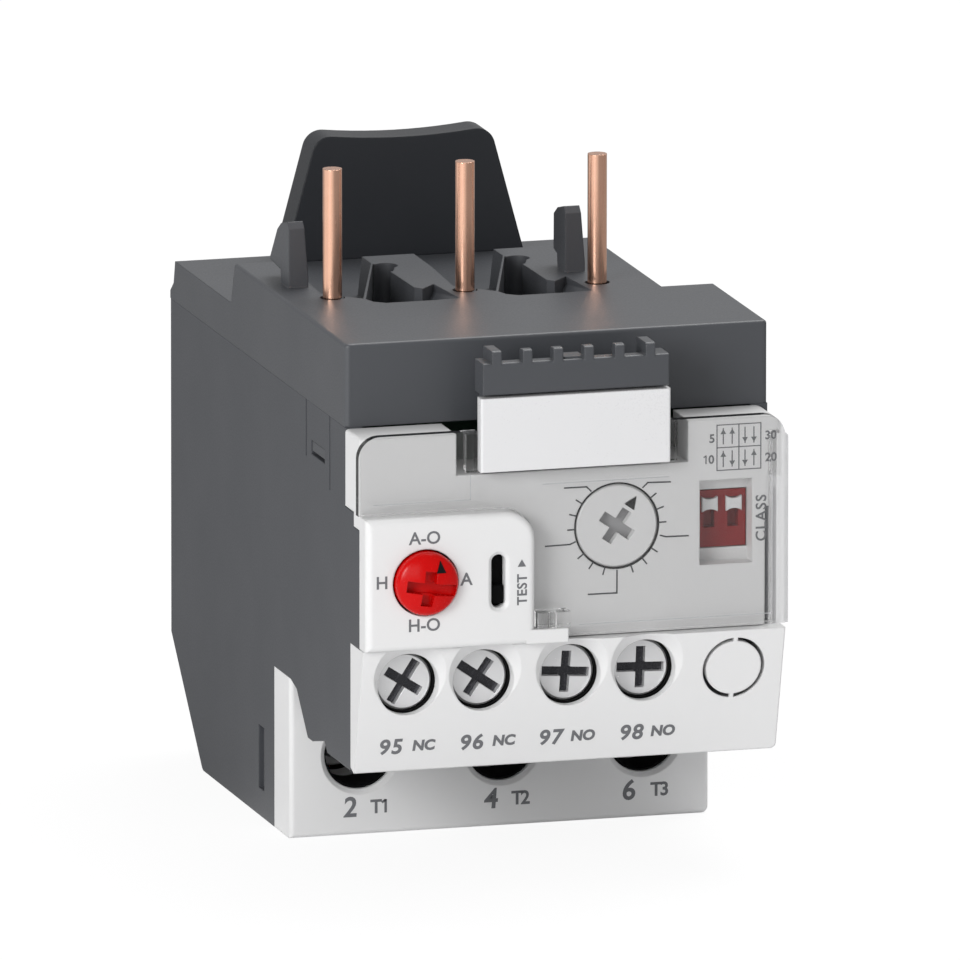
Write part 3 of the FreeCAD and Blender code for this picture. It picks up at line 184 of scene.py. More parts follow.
# materials
def startMaterial(name):
    material = bpy.data.materials.new(name)
    material.use_nodes = True
    tree = material.node_tree
    return material, tree, tree.nodes["Principled BSDF"]


def useGroup(tree, group, values, shader):
    node = tree.nodes.new("ShaderNodeGroup")
    node.node_tree = group
    for label, value in values.items():
        node.inputs[label].default_value = value
    tree.links.new(node.outputs["Color"], shader.inputs["Base Color"])
    tree.links.new(node.outputs["Roughness"], shader.inputs["Roughness"])
    tree.links.new(node.outputs["Normal"], shader.inputs["Normal"])


def plastic(name, spec):
    material, tree, shader = startMaterial(name)
    useGroup(tree, mouldedSkin, {
        "Color": tone(*spec["color"]), "Mottle": spec["mottle"], "Roughness": spec["rough"],
        "Grain Depth": spec["depth"], "Edge": spec["edge"] * mm}, shader)
    shader.inputs["Specular IOR Level"].default_value = spec.get("specular", 0.5)
    return material


def metal(name, spec):
    material, tree, shader = startMaterial(name)
    useGroup(tree, drawnMetal, {
        "Color": tone(*spec["color"]), "Tarnish": tone(*spec["tarnish"]), "Tarnish Amount": spec["amount"],
        "Roughness": spec["rough"], "Lines": spec["lines"], "Line Depth": spec["depth"],
        "Edge": spec.get("edge", 0.1) * mm}, shader)
    shader.inputs["Metallic"].default_value = spec.get("metallic", 1.0)
    return material


# colours are display values, edge is the radius in mm by which edges look rounded
plasticFinishes = {
    "casingGrey": {"color": (70, 72, 76), "rough": 0.46, "mottle": 0.012, "depth": 0.22, "edge": 0.2,
                   "specular": 0.35},
    "capGrey": {"color": (70, 72, 76), "rough": 0.42, "mottle": 0.012, "depth": 0.18, "edge": 0.2},
    "tabGrey": {"color": (40, 42, 46), "rough": 0.4, "mottle": 0.015, "depth": 0.2, "edge": 0.25,
                "specular": 0.4},
    "frontWhite": {"color": (219, 219, 219), "rough": 0.38, "mottle": 0.005, "depth": 0.1, "edge": 0.25},
    "shroudWhite": {"color": (226, 226, 226), "rough": 0.4, "mottle": 0.005, "depth": 0.1, "edge": 0.25},
    "labelWhite": {"color": (216, 216, 217), "rough": 0.3, "mottle": 0.002, "depth": 0.03, "edge": 0.2},
    "dialWhite": {"color": (222, 222, 222), "rough": 0.4, "mottle": 0.005, "depth": 0.1, "edge": 0.08},
    "knobRed": {"color": (190, 0, 0), "rough": 0.24, "mottle": 0.01, "depth": 0.04, "edge": 0.12,
                "specular": 0.2},
    "switchRed": {"color": (128, 8, 12), "rough": 0.45, "mottle": 0.02, "depth": 0.1, "edge": 0.1,
                  "specular": 0.3},
    "stemBlack": {"color": (7, 7, 8), "rough": 0.6, "mottle": 0.03, "depth": 0.2, "edge": 0.1,
                  "specular": 0.08},
    "boardGreen": {"color": (14, 46, 28), "rough": 0.35, "mottle": 0.06, "depth": 0.1, "edge": 0.05},
    # darker grey, painted shade for the bottom of the dial's drive recess
    "recessShadeGrey": {"color": (150, 150, 151), "rough": 0.5, "mottle": 0.02, "depth": 0.1, "edge": 0.0},
    "paleLine": {"color": (168, 169, 171), "rough": 0.5, "mottle": 0.02, "depth": 0.1, "edge": 0.0},
    "printGrey": {"color": (104, 105, 108), "rough": 0.55, "mottle": 0.03, "depth": 0.1, "edge": 0.0},
    "printDark": {"color": (62, 63, 66), "rough": 0.55, "mottle": 0.03, "depth": 0.1, "edge": 0.0},
    "printBlack": {"color": (14, 14, 15), "rough": 0.5, "mottle": 0.03, "depth": 0.1, "edge": 0.0,
                   "specular": 0.2},
}
metalFinishes = {
    "copperPin": {"color": (252, 206, 180), "tarnish": (214, 140, 108), "amount": 0.25, "rough": 0.24,
                  "lines": (4000, 4000, 120), "depth": 0.12},
    "contactCopper": {"color": (214, 150, 96), "tarnish": (130, 84, 50), "amount": 0.3, "rough": 0.3,
                      "lines": (300, 3000, 3000), "depth": 0.2},
    "screwSteel": {"color": (246, 246, 247), "tarnish": (215, 215, 217), "amount": 0.04, "rough": 0.2,
                   "lines": (3500, 200, 3500), "depth": 0.012, "edge": 0.05, "metallic": 0.55},
    # dark steel, painted shade for the bottom of the screws' drive recesses
    "recessShadeSteel": {"color": (74, 74, 78), "tarnish": (40, 40, 43), "amount": 0.3, "rough": 0.25,
                    "lines": (3000, 300, 3000), "depth": 0.05, "metallic": 0.8},
    "clampSteel": {"color": (180, 181, 184), "tarnish": (110, 108, 104), "amount": 0.2, "rough": 0.32,
                   "lines": (300, 3000, 300), "depth": 0.2},
    "windingCopper": {"color": (170, 86, 44), "tarnish": (96, 44, 22), "amount": 0.3, "rough": 0.35,
                      "lines": (200, 200, 5000), "depth": 0.8},
}
finish = {name: plastic(name, spec) for name, spec in plasticFinishes.items()}
finish.update({name: metal(name, spec) for name, spec in metalFinishes.items()})


def makeClearPlastic():
    # clear, and frosted more and more towards the flange at the hinge side, but not over the class numbers
    spec = {"color": (240, 240, 240), "shade": (240, 240, 240), "rough": 0.05, "ior": 1.46,
            "hazeScale": 260.0, "hazeDetail": 3.0, "haze": 0.06,
            "frostColor": (214, 214, 215), "frostRough": 0.3, "frostStart": 20.6, "frostEnd": 22.5,
            "frostMost": 0.65, "frostTop": 41.5, "rimStart": 22.1, "mostPasses": 4.5}
    material, tree, shader = startMaterial("clearPlastic")
    place = tree.nodes.new("ShaderNodeTexCoord").outputs["Object"]
    cloud = noiseNode(tree, place, spec["hazeScale"], spec["hazeDetail"])
    haze = mathNode(tree, "MULTIPLY", cloud, spec["haze"])
    rough = mathNode(tree, "ADD", haze, spec["rough"] - spec["haze"] / 2)
    tree.links.new(rough, shader.inputs["Roughness"])
    shader.inputs["Base Color"].default_value = tone(*spec["color"])
    shader.inputs["Transmission Weight"].default_value = 1.0
    shader.inputs["IOR"].default_value = spec["ior"]

    across = tree.nodes.new("ShaderNodeSeparateXYZ")
    tree.links.new(place, across.inputs[0])
    frost = rangeNode(tree, across.outputs["X"], spec["frostStart"] * mm, spec["frostEnd"] * mm,
                      0.0, spec["frostMost"])
    low = mathNode(tree, "LESS_THAN", across.outputs["Z"], spec["frostTop"] * mm)
    outer = mathNode(tree, "GREATER_THAN", across.outputs["X"], spec["rimStart"] * mm)
    veil = mathNode(tree, "MULTIPLY", frost, mathNode(tree, "MAXIMUM", low, outer))
    frosted = tree.nodes.new("ShaderNodeBsdfPrincipled")
    frosted.inputs["Base Color"].default_value = tone(*spec["frostColor"])
    frosted.inputs["Roughness"].default_value = spec["frostRough"]
    body = mixNode(tree, veil, shader.outputs[0], frosted.outputs[0])

    # plain see-through for lamps that light what lies behind, and for rays that stay in the edges
    through = tree.nodes.new("ShaderNodeBsdfTransparent")
    through.inputs["Color"].default_value = tone(*spec["shade"])
    rays = tree.nodes.new("ShaderNodeLightPath")
    lit = mathNode(tree, "MAXIMUM", rays.outputs["Is Shadow Ray"], rays.outputs["Is Diffuse Ray"])
    caught = mathNode(tree, "GREATER_THAN", rays.outputs["Transmission Depth"], spec["mostPasses"])
    seen = mixNode(tree, mathNode(tree, "MAXIMUM", lit, caught), body, through.outputs[0])
    tree.links.new(seen, tree.nodes["Material Output"].inputs["Surface"])
    return material


finish["clearPlastic"] = makeClearPlastic()
print("finishes made,", len(finish))

# finishes for the solids that keep their own shape; copies of a part share their family's name
nodeFinish = {
    "main_housing": "casingGrey", "top_cap": "capGrey", "support_tab": "tabGrey",
    "front_housing": "frontWhite", "aux_terminal_block": "frontWhite", "terminal_shroud": "shroudWhite",
    "clear_cover": "clearPlastic", "marker_holder": "capGrey", "label_plate": "labelWhite",
    "reset_knob": "knobRed", "reset_plunger": "shroudWhite", "reset_spring": "clampSteel",
    "test_slider": "stemBlack", "setting_dial": "dialWhite", "setting_potentiometer": "stemBlack",
    "class_switch_body": "switchRed", "class_slider": "labelWhite",
    "main_circuit_board": "boardGreen", "transformer_board": "boardGreen",
    "current_transformer": "stemBlack", "contact_carrier": "stemBlack", "aux_contact": "contactCopper",
    "closed_contact_bridge": "contactCopper", "open_contact_bridge": "contactCopper",
    "trip_coil": "windingCopper", "trip_plunger": "clampSteel", "line_conductor": "copperPin",
    "load_screw": "screwSteel", "load_clamp": "clampSteel",
    "aux_screw": "screwSteel", "aux_clamp": "clampSteel",
}
for name, piece in nodes.items():
    family = name if name in nodeFinish else name.rsplit("_", 1)[0]
    piece.data.materials.clear()
    piece.data.materials.append(finish[nodeFinish[family]])
print("solids finished")


# tools for new pieces
weld = 0.001 * mm  # vertices nearer than this are one
printDepth = 0.04  # thickness of printed lines and letters
tipLift = 0.02  # arrow tips lie this much in front of the lines
roundSteps = 72  # steps of a full spin


def addPiece(name, bm, look, body, sharpAngle=35):
    mesh = bpy.data.meshes.new(name)
    bm.to_mesh(mesh)
    bm.free()
    mesh.materials.append(finish[look])
    for face in mesh.polygons:
        face.use_smooth = True
    mesh.set_sharp_from_angle(angle=radians(sharpAngle))
    piece = bpy.data.objects.new(name, mesh)
    bpy.context.scene.collection.objects.link(piece)
    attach(piece, body)
    return piece


def addPrint(name, bm, look):
    return addPiece(name, bm, look, "casing")


def onFront(x, y, z, lean=0.0, turn=0.0):
    # flat drawing on XY to the front of the relay; turn is clockwise seen from the front
    return (Matrix.Translation(Vector((x, y, z)) * mm) @ Matrix.Rotation(radians(lean), 4, "X")
            @ Matrix.Rotation(radians(90), 4, "X") @ Matrix.Rotation(radians(-turn), 4, "Z"))


def joinInto(target, part, matrix):
    mesh = bpy.data.meshes.new("part")
    part.transform(matrix)
    part.to_mesh(mesh)
    part.free()
    target.from_mesh(mesh)
    bpy.data.meshes.remove(mesh)


def letterMesh(text, size, bold, slant=0.0, spacing=1.0):
    curve = bpy.data.curves.new("lettering", "FONT")
    curve.body = text
    curve.size = size * mm
    curve.offset = bold * mm
    curve.shear = slant
    curve.space_character = spacing
    curve.extrude = printDepth / 2 * mm
    curve.resolution_u = 4
    curve.align_x = "CENTER"
    curve.align_y = "CENTER"
    flat = bpy.data.objects.new("lettering", curve)
    bpy.context.scene.collection.objects.link(flat)
    bpy.context.view_layer.update()
    mesh = bpy.data.meshes.new_from_object(flat.evaluated_get(bpy.context.evaluated_depsgraph_get()))
    bpy.data.objects.remove(flat)
    bm = bmesh.new()
    bm.from_mesh(mesh)
    bpy.data.meshes.remove(mesh)
    bmesh.ops.remove_doubles(bm, verts=bm.verts, dist=weld)
    lows = [min(v.co[i] for v in bm.verts) for i in range(2)]
    highs = [max(v.co[i] for v in bm.verts) for i in range(2)]
    centre = Vector(((lows[0] + highs[0]) / 2, (lows[1] + highs[1]) / 2, 0))
    bmesh.ops.translate(bm, verts=bm.verts, vec=-centre)
    return bm


def barMesh(length, width):
    bm = bmesh.new()
    bmesh.ops.create_cube(bm, size=1.0)
    bmesh.ops.scale(bm, verts=bm.verts, vec=Vector((length, width, printDepth)) * mm)
    return bm


def arrowTip(radius):
    bm = bmesh.new()
    bmesh.ops.create_circle(bm, cap_ends=True, segments=3, radius=radius * mm)
    return bm


def strokeInto(target, points, width, y):
    # printed line through points (x, z); each bar runs on by nearly half its width, so corners close
    overlap = 0.9
    for (x0, z0), (x1, z1) in zip(points, points[1:]):
        run = Vector((x1 - x0, z1 - z0))
        turn = degrees(Vector((1, 0)).angle_signed(run))
        bar = barMesh(run.length + width * overlap, width)
        joinInto(target, bar, onFront((x0 + x1) / 2, y, (z0 + z1) / 2, 0, turn))


def digitOne(height, weight):
    # upright stroke with a flag, as in a plain sans serif; the flag is given as shares of both sizes
    flag = {"length": 0.36, "weight": 0.9, "left": 0.14, "up": 0.36, "turn": 34}
    bm = barMesh(weight, height)
    place = Matrix.Translation(Vector((-height * flag["left"], height * flag["up"], 0)) * mm)
    joinInto(bm, barMesh(height * flag["length"], weight * flag["weight"]),
             place @ Matrix.Rotation(radians(flag["turn"]), 4, "Z"))
    return bm


# lettering
plateLetters = {
    "numbers": [("95", -18.75), ("96", -10.12), ("97", -1.59), ("98", 6.95)],
    "functions": [("NC", -15.24), ("NC", -6.7), ("NO", 1.72), ("NO", 10.26)],
    "numberFont": {"size": 2.35, "bold": 0.065, "slant": 0.1, "spacing": 1.14},
    "functionFont": {"size": 1.6, "bold": 0.07, "slant": 0.08},
    "z": 14.9, "y": -27.03, "lean": 14.8,
}


def makePlateLetters():
    spec = plateLetters
    bm = bmesh.new()
    for texts, font in (("numbers", "numberFont"), ("functions", "functionFont")):
        for text, x in spec[texts]:
            joinInto(bm, letterMesh(text, **spec[font]), onFront(x, spec["y"], spec["z"], spec["lean"]))
    addPrint("terminal_numbers", bm, "printGrey")


shroudLetters = {
    "numbers": [("2", -16.07), ("4", -0.94), ("6", 13.91)],
    "marks": [("T", -13.27), ("T", 1.87), ("T", 16.83), ("2", 2.75), ("3", 17.71)],
    "numberFont": {"size": 2.95, "bold": 0.06, "slant": 0.08}, "markFont": {"size": 2.0, "bold": 0.05},
    "one": {"height": 1.42, "weight": 0.27}, "oneX": -12.25, "numberZ": 3.0, "markZ": 2.9,
}


def makeShroudLetters():
    spec = shroudLetters
    y = seat("terminal_shroud")[2]
    bm = bmesh.new()
    for text, x in spec["numbers"]:
        joinInto(bm, letterMesh(text, **spec["numberFont"]), onFront(x, y, spec["numberZ"]))
    for text, x in spec["marks"]:
        joinInto(bm, letterMesh(text, **spec["markFont"]), onFront(x, y, spec["markZ"]))
    joinInto(bm, digitOne(**spec["one"]), onFront(spec["oneX"], y, spec["markZ"]))
    addPrint("load_numbers", bm, "printGrey")


panelLetters = {
    "marks": [("A-O", -16.35, 37.5), ("H", -20.86, 33.06), ("A", -11.88, 32.95), ("H-O", -16.35, 28.4)],
    "markFont": {"size": 1.85, "bold": 0.03},
    "test": (-5.98, 31.5), "testFont": {"size": 1.45, "bold": 0.03, "spacing": 1.05},
    "arrow": (-6.0, 34.15), "arrowRadius": 0.52,
}


def makePanelLetters():
    spec = panelLetters
    y = seat("front_housing")[2]
    bm = bmesh.new()
    for text, x, z in spec["marks"]:
        joinInto(bm, letterMesh(text, **spec["markFont"]), onFront(x, y, z))
    x, z = spec["test"]
    joinInto(bm, letterMesh("TEST", **spec["testFont"]), onFront(x, y, z, 0, -90))
    x, z = spec["arrow"]
    joinInto(bm, arrowTip(spec["arrowRadius"]), onFront(x, y - tipLift, z))
    addPrint("reset_marks", bm, "printGrey")


dialScale = {
    "marks": 17, "inner": 4.52, "outer": 5.22, "first": 35.0, "step": 17.94, "line": 0.16,
    "leaders": {  # marks that run on to the numbers' places
        0: [(7.57, 40.9), (8.1, 41.38), (10.49, 41.31)],
        4: [(9.45, 35.77), (10.06, 35.59), (12.41, 35.56)],
        8: [(4.82, 32.35), (4.81, 30.01), (1.78, 30.03)],
        12: [(0.35, 35.61), (-0.2, 35.38), (-2.8, 35.33)],
        16: [(2.04, 40.85), (1.56, 41.31), (-0.77, 41.32)],
    },
}


def makeDialScale():
    spec = dialScale
    middleX, middleZ, y = seat("setting_dial")
    bm = bmesh.new()
    for i in range(spec["marks"]):
        angle = radians(spec["first"] + i * spec["step"])
        ends = [(middleX + r * sin(angle), middleZ + r * cos(angle))
                for r in (spec["inner"], spec["outer"])]
        strokeInto(bm, spec["leaders"].get(i, ends), spec["line"], y)
    addPrint("dial_scale", bm, "printDark")


# painted shade, no real parts: dark rings in the gap round the dial, round the auxiliary screws' heads and
# in front of the load screws, where only shade falls
rings = {
    "dial": {"front": -28.36, "inner": 4.37, "outer": 4.54, "depth": 0.5, "look": "printBlack"},
    "auxScrew": {"front": -26.95, "inner": 3.04, "outer": 3.24, "depth": 1.2, "look": "stemBlack"},
    "loadScrew": {"front": -1.1, "inner": 3.5, "outer": 3.74, "depth": 5.0, "look": "stemBlack"},
}


def makeShadeRing(name, node, spec):
    # a tube of painted shade round a node's middle, whose axis runs to the rear
    x, z, _ = seat(node)
    bm = bmesh.new()
    corners = [(spec["inner"], 0), (spec["outer"], 0), (spec["outer"], -spec["depth"]),
               (spec["inner"], -spec["depth"])]
    verts = [bm.verts.new(Vector((r, 0, h)) * mm) for r, h in corners]
    loop = [bm.edges.new(pair) for pair in zip(verts, verts[1:] + verts[:1])]
    bmesh.ops.spin(bm, geom=verts + loop, cent=(0, 0, 0), axis=(0, 0, 1), angle=2 * pi,
                   steps=roundSteps, use_merge=True)
    bmesh.ops.remove_doubles(bm, verts=bm.verts, dist=weld)
    bmesh.ops.recalc_face_normals(bm, faces=bm.faces)
    bm.transform(onFront(x, spec["front"], z))
    addPrint(name, bm, spec["look"])


classTable = {
    "left": 15.47, "right": 20.15, "low": 42.2, "high": 46.95, "y": -28.4, "line": 0.11,
    "column": 2.32, "row": 2.38, "firstArrow": 0.67, "nextArrow": 0.95,
    "shaft": 0.8, "shaftLine": 0.12, "tip": 0.36, "tipPlace": 0.4,
    "ways": [[(1, 1), (1, -1)], [(-1, -1), (-1, 1)]],  # both sliders by column and row: up 1, down -1
    "numbers": [("5", 14.93, 45.58), ("0", 14.87, 43.4), ("30", 21.23, 45.63), ("20", 21.24, 43.32)],
    "numberFont": {"size": 1.25, "bold": 0.03},
    "one": {"height": 0.9, "weight": 0.13}, "onePlace": (14.3, 43.4),
    "word": (20.18, 36.98), "wordFont": {"size": 1.58, "bold": 0.03, "spacing": 1.16},
}


def makeClassTable():
    # four fields, each with an arrow for each slider, the class numbers beside them and the word below
    spec = classTable
    y = spec["y"]
    middleX = (spec["left"] + spec["right"]) / 2
    middleZ = (spec["low"] + spec["high"]) / 2
    bm = bmesh.new()
    for x in (spec["left"], middleX, spec["right"]):
        strokeInto(bm, [(x, spec["low"]), (x, spec["high"])], spec["line"], y)
    for z in (spec["low"], middleZ, spec["high"]):
        strokeInto(bm, [(spec["left"], z), (spec["right"], z)], spec["line"], y)
    for column, rows in enumerate(spec["ways"]):
        for row, pair in enumerate(rows):
            z = middleZ + spec["row"] * (0.5 - row)
            for k, way in enumerate(pair):
                x = spec["left"] + spec["column"] * column + spec["firstArrow"] + spec["nextArrow"] * k
                strokeInto(bm, [(x, z - spec["shaft"]), (x, z + spec["shaft"])], spec["shaftLine"], y)
                joinInto(bm, arrowTip(spec["tip"]),
                         onFront(x, y - tipLift, z + spec["tipPlace"] * way, 0, 0 if way > 0 else 180))
    for text, x, z in spec["numbers"]:
        joinInto(bm, letterMesh(text, **spec["numberFont"]), onFront(x, y, z))
    x, z = spec["onePlace"]
    joinInto(bm, digitOne(**spec["one"]), onFront(x, y, z))
    x, z = spec["word"]
    joinInto(bm, letterMesh("CLASS", **spec["wordFont"]), onFront(x, y, z, 0, -90))
    addPrint("class_table", bm, "printGrey")


coverRules = {
    "y": -29.5, "line": 0.09,
    "lines": [[(-3.3, 42.03), (10.1, 42.03)], [(0.6, 27.1), (21.0, 27.1)],
              [(-21.3, 40.85), (-11.0, 40.85), (-11.0, 43.4)]],
}


def makeCoverRules():
    # fine pale lines laid on the clear cover along the borders of its steps
    bm = bmesh.new()
    for points in coverRules["lines"]:
        strokeInto(bm, points, coverRules["line"], coverRules["y"])
    addPiece("cover_rules", bm, "paleLine", "cover")


makePlateLetters()
makeShroudLetters()
makePanelLetters()
makeDialScale()
# dark rings of painted shade: in the dial's gap, round the auxiliary screw heads and inside the load
# openings
makeShadeRing("dial_gap_shade", "setting_dial", rings["dial"])
for number in (1, 2, 3, 4):
    makeShadeRing(f"screw_shade_ring_{number}", f"aux_screw_{number}", rings["auxScrew"])
for number in (1, 2, 3):
    makeShadeRing(f"load_hole_shade_{number}", f"load_screw_{number}", rings["loadScrew"])
makeClassTable()
makeCoverRules()
print("lettering done")


# painted shade in the drive recesses, reset knob and pointers
def boxMesh(lowX, highX, lowY, highY, lowZ, highZ, turn=0.0):
    bm = bmesh.new()
    bmesh.ops.create_cube(bm, size=1.0)
    size = Vector((highX - lowX, highY - lowY, highZ - lowZ)) * mm
    centre = Vector((lowX + highX, lowY + highY, lowZ + highZ)) * mm / 2
    bmesh.ops.scale(bm, verts=bm.verts, vec=size)
    bmesh.ops.translate(bm, verts=bm.verts, vec=centre)
    bm.transform(Matrix.Rotation(radians(-turn), 4, "Z"))
    return bm


# crosses of painted shade at the bottom of the drive recesses: half lengths of their two arms, and the
# arms' half width
recesses = {
    "auxScrew": {"y": -25.62, "arms": (2.5, 2.14), "half": 0.48,
                 "look": "recessShadeSteel", "slot": "plated_steel"},
    "loadScrew": {"y": 9.74, "arms": (2.83, 2.42), "half": 0.48,
                  "look": "recessShadeSteel", "slot": "plated_steel"},
    "dial": {"y": -27.52, "arms": (1.9, 1.9), "half": 0.555,
             "look": "recessShadeGrey", "slot": "light_plastic"},
}
armThickness = (0.06, 0.05)  # unequal, so the two arms' faces don't share a plane
auxScrewTurns = (-57, 35, 4, 2)  # as the drive of each screw lies
loadScrewTurn = 20
dialTurn = 35


# a darker cross laid on a recess's bottom, as painted shade
def makeRecessShade(name, node, body, spec, turn):
    x, z, _ = seat(node)
    bm = bmesh.new()
    half = spec["half"]
    sizes = ((spec["arms"][0], half), (half, spec["arms"][1]))
    for (wide, tall), thick in zip(sizes, armThickness):
        joinInto(bm, boxMesh(-wide, wide, -tall, tall, 0.0, thick, turn), onFront(x, spec["y"], z))
    addPiece(name, bm, spec["look"], body)


def carve(bm, cutters):
    # takes closed cutters out of a closed shape
    link = bpy.context.scene.collection.objects.link
    shapes = []
    for part in [bm] + cutters:
        mesh = bpy.data.meshes.new("shape")
        part.to_mesh(mesh)
        part.free()
        shapes.append(bpy.data.objects.new("shape", mesh))
        link(shapes[-1])
    for tool in shapes[1:]:
        cut = shapes[0].modifiers.new("cut", "BOOLEAN")
        cut.operation = "DIFFERENCE"
        cut.solver = "EXACT"
        cut.object = tool
    bpy.context.view_layer.update()
    result = bmesh.new()
    result.from_object(shapes[0], bpy.context.evaluated_depsgraph_get())
    for shape in shapes:
        bpy.data.objects.remove(shape)
    return result


resetKnob = {
    "domeRadius": 6.0, "domeReach": 0.5, "domeSteps": 12,  # the reach is in radians from the top
    "lip": (3.12, 0.16), "radius": 3.3, "shoulder": 0.5, "depth": 5.4,
    "slot": (-2.3, 3.0, -0.95, 0.25, -1.5, 1.0), "crossSlot": (-0.62, 0.62, -2.2, 1.45, -1.25, 1.0),
    "slotTurn": 8.0, "pointerAngle": 36.0, "pointerReach": 2.05, "pointerSink": 0.02,
    "pointer": {"radius": 0.74, "thick": 0.12, "wide": 0.82, "long": 1.15},
}


def makeResetKnob():
    spec = resetKnob
    x, z, front = seat("reset_knob")
    crown = spec["domeRadius"]
    angles = [k / spec["domeSteps"] * spec["domeReach"] for k in range(spec["domeSteps"] + 1)]
    edge = [(crown * sin(a), crown * (cos(a) - 1)) for a in angles]
    rim = edge[-1][1]
    edge += [(spec["lip"][0], rim - spec["lip"][1]), (spec["radius"], rim - spec["shoulder"]),
             (spec["radius"], -spec["depth"]), (0, -spec["depth"])]
    bm = bmesh.new()
    verts = [bm.verts.new(Vector((r, 0, h)) * mm) for r, h in edge]
    lines = [bm.edges.new(pair) for pair in zip(verts, verts[1:])]
    bmesh.ops.spin(bm, geom=verts + lines, cent=(0, 0, 0), axis=(0, 0, 1), angle=2 * pi,
                   steps=roundSteps, use_merge=True)
    bmesh.ops.remove_doubles(bm, verts=bm.verts, dist=weld)
    bmesh.ops.recalc_face_normals(bm, faces=bm.faces)
    knob = carve(bm, [boxMesh(*spec[cutter], spec["slotTurn"]) for cutter in ("slot", "crossSlot")])
    knob.transform(onFront(x, front, z))
    piece = addPiece("domed_knob", knob, "knobRed", "reset_head", 40)
    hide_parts("reset_knob")


def pointerMesh(radius, thick, wide, long):
    bm = bmesh.new()
    bmesh.ops.create_cone(bm, cap_ends=True, segments=3, radius1=radius * mm, radius2=radius * mm,
                          depth=thick * mm)
    bmesh.ops.scale(bm, verts=bm.verts, vec=(wide, long, 1))
    return bm


def makeKnobPointer():
    # painted triangle on the dome, square to the panel
    spec = resetKnob
    x, z, front = seat("reset_knob")
    lean = spec["pointerReach"] / spec["domeRadius"]
    drop = spec["domeRadius"] * (cos(lean) - 1)
    turn = Matrix.Rotation(radians(-spec["pointerAngle"]), 4, "Z")
    place = Matrix.Translation(Vector((0, spec["pointerReach"], drop - spec["pointerSink"])) * mm)
    bm = pointerMesh(**spec["pointer"])
    bm.transform(onFront(x, front, z) @ turn @ place @ Matrix.Rotation(-lean, 4, "X") @ turn.inverted())
    addPiece("knob_pointer", bm, "printBlack", "reset_head")


dialPointer = {"y": -28.41, "reach": 3.62,
               "shape": {"radius": 0.74, "thick": 0.1, "wide": 0.86, "long": 1.2}}


def makeDialPointer():
    shape = dialPointer["shape"]
    x, z, _ = seat("setting_dial")
    bm = pointerMesh(**shape)
    out = dialPointer["reach"] - shape["radius"] * shape["long"]
    bmesh.ops.translate(bm, verts=bm.verts, vec=(0, out * mm, 0))
    bm.transform(onFront(x, dialPointer["y"], z, 0, dialTurn))
    addPiece("dial_pointer", bm, "printBlack", "dial")


# crosses of painted shade in the screws' and the dial's drive recesses
for number, turn in enumerate(auxScrewTurns, 1):
    screw = f"aux_screw_{number}"
    makeRecessShade(f"screw_recess_shade_{number}", screw, screw, recesses["auxScrew"], turn)
for number in (1, 2, 3):
    screw = f"load_screw_{number}"
    makeRecessShade(f"load_recess_shade_{number}", screw, screw, recesses["loadScrew"], loadScrewTurn)
makeRecessShade("dial_recess_shade", "setting_dial", "dial", recesses["dial"], dialTurn)
makeResetKnob()
makeKnobPointer()
makeDialPointer()
print("knob and pointers done")


# floor, light and camera; the floor's size and the lamps' places are in metres
def makeFloor():
    # white paper; in reflections it is brighter on the lamps' side than behind the object
    spec = {"size": 6.0, "color": (244, 244, 245), "rough": 0.9, "specular": 0.1,
            "white": 1.02, "glow": 0.9, "lampSide": (-0.93, -0.37, 0.0),
            "poolStart": 0.15, "poolFull": 0.9, "dim": 0.38, "bright": 1.0}
    bm = bmesh.new()
    bmesh.ops.create_grid(bm, x_segments=1, y_segments=1, size=spec["size"])
    mesh = bpy.data.meshes.new("floor")
    bm.to_mesh(mesh)
    bm.free()
    floor = bpy.data.objects.new("floor", mesh)
    bpy.context.scene.collection.objects.link(floor)
    material, tree, shader = startMaterial("floorPaper")
    link = tree.links.new
    shader.inputs["Base Color"].default_value = tone(*spec["color"])
    shader.inputs["Roughness"].default_value = spec["rough"]
    shader.inputs["Specular IOR Level"].default_value = spec["specular"]
    heading = tree.nodes.new("ShaderNodeVectorMath")
    heading.operation = "NORMALIZE"
    link(tree.nodes.new("ShaderNodeTexCoord").outputs["Object"], heading.inputs[0])
    facing = tree.nodes.new("ShaderNodeVectorMath")
    facing.operation = "DOT_PRODUCT"
    link(heading.outputs[0], facing.inputs[0])
    facing.inputs[1].default_value = spec["lampSide"]
    pool = rangeNode(tree, facing.outputs["Value"], spec["poolStart"], spec["poolFull"],
                     spec["dim"], spec["bright"], "SMOOTHSTEP")
    rays = tree.nodes.new("ShaderNodeLightPath")
    straight = mathNode(tree, "MAXIMUM", rays.outputs["Is Camera Ray"], rays.outputs["Is Transmission Ray"])
    mirrored = mathNode(tree, "MULTIPLY", rays.outputs["Is Glossy Ray"], pool)
    glow = tree.nodes.new("ShaderNodeEmission")
    plain = mathNode(tree, "MULTIPLY", straight, spec["white"])
    link(mathNode(tree, "MAXIMUM", plain, mirrored), glow.inputs["Strength"])
    shown = mathNode(tree, "MULTIPLY", straight, spec["glow"])
    seen = mathNode(tree, "MAXIMUM", shown, rays.outputs["Is Glossy Ray"])
    surface = mixNode(tree, seen, shader.outputs[0], glow.outputs[0])
    link(surface, tree.nodes["Material Output"].inputs["Surface"])
    floor.data.materials.append(material)


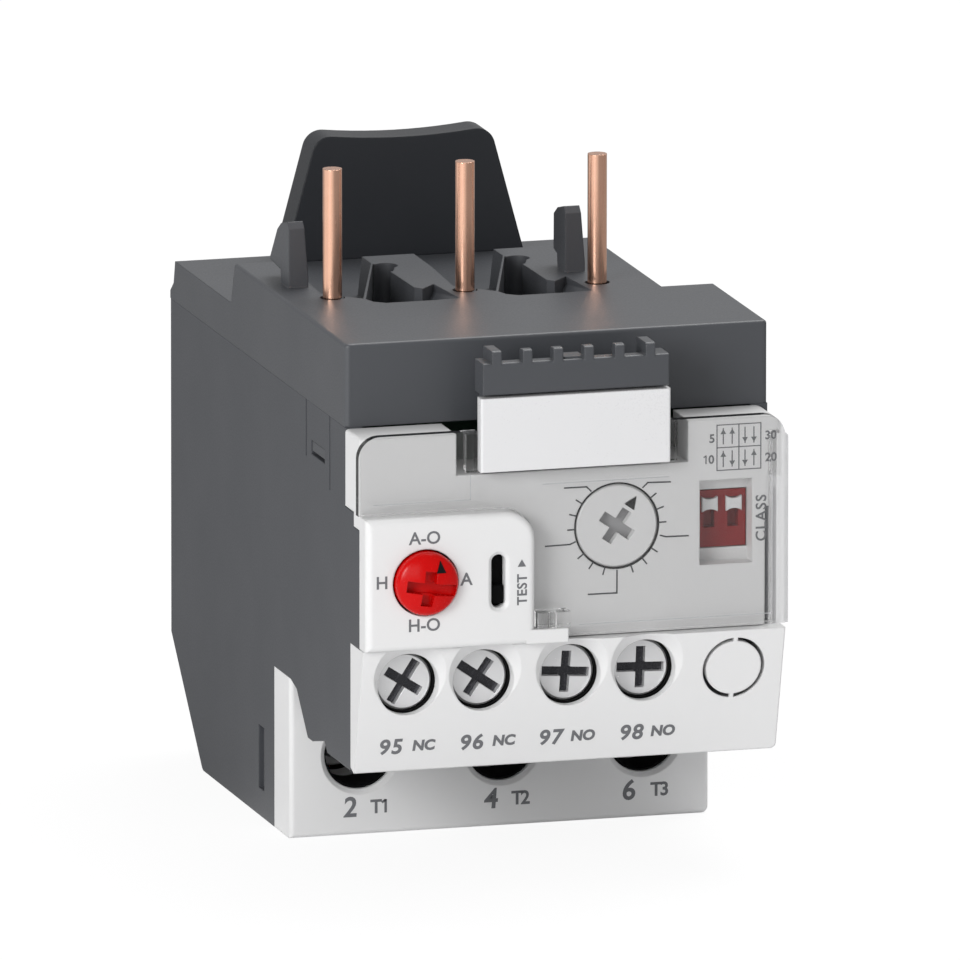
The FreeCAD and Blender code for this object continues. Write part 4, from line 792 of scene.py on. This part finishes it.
def makeWorld():
    # plain white to the eye, a dimmer room for the light it gives and for reflections
    spec = {"fill": 0.42, "white": 1.0}
    world = bpy.data.worlds.new("studio")
    bpy.context.scene.world = world
    world.use_nodes = True
    tree = world.node_tree
    fill = tree.nodes["Background"]
    fill.inputs["Color"].default_value = (1, 1, 1, 1)
    rays = tree.nodes.new("ShaderNodeLightPath")
    seen = mathNode(tree, "MAXIMUM", rays.outputs["Is Camera Ray"], rays.outputs["Is Transmission Ray"])
    extra = mathNode(tree, "MULTIPLY", seen, spec["white"] - spec["fill"])
    tree.links.new(mathNode(tree, "ADD", extra, spec["fill"]), fill.inputs["Strength"])


lamps = {
    "keyLamp": {"place": (-0.36, -0.32, 0.2), "target": (0, -0.01, 0.03), "size": 0.2, "power": 1.45},
    "frontLamp": {"place": (-0.35, -1.1, 0.4), "target": (0, 0, 0.03), "size": 0.5, "power": 1.25},
    "topLamp": {"place": (0.3, 0.3, 0.8), "target": (0, 0, 0.03), "size": 0.6, "power": 6.0},
}


def makeLamp(name, spec):
    lamp = bpy.data.lights.new(name, "AREA")
    lamp.shape = "SQUARE"
    lamp.size = spec["size"]
    lamp.energy = spec["power"]
    holder = bpy.data.objects.new(name, lamp)
    holder.location = spec["place"]
    aim = Vector(spec["target"]) - Vector(spec["place"])
    holder.rotation_euler = aim.to_track_quat("-Z", "Y").to_euler()
    bpy.context.scene.collection.objects.link(holder)


def makeCamera():
    # angles in degrees round the target, whose place and distance are in mm
    spec = {"target": (-2.3646, -2.7896, 36.8797), "distance": 3500.0,
            "azimuth": -15.9458, "elevation": 12.153, "roll": 0.0354,
            "lens": 1273.24, "sensor": 36.0, "near": 0.5, "far": 30.0}
    data = bpy.data.cameras.new("camera")
    data.lens = spec["lens"]
    data.sensor_width = spec["sensor"]
    data.clip_start = spec["near"]
    data.clip_end = spec["far"]
    camera = bpy.data.objects.new("camera", data)
    turn = (Matrix.Rotation(radians(spec["azimuth"]), 4, "Z")
            @ Matrix.Rotation(radians(90 - spec["elevation"]), 4, "X")
            @ Matrix.Rotation(radians(spec["roll"]), 4, "Z"))
    place = Vector(spec["target"]) + turn @ Vector((0, 0, spec["distance"]))
    camera.matrix_world = Matrix.Translation(place * mm) @ turn
    bpy.context.scene.collection.objects.link(camera)
    bpy.context.scene.camera = camera


makeFloor()
makeWorld()
for name, spec in lamps.items():
    makeLamp(name, spec)
makeCamera()
bpy.context.scene.view_settings.view_transform = "Standard"
print("floor, light and camera done")
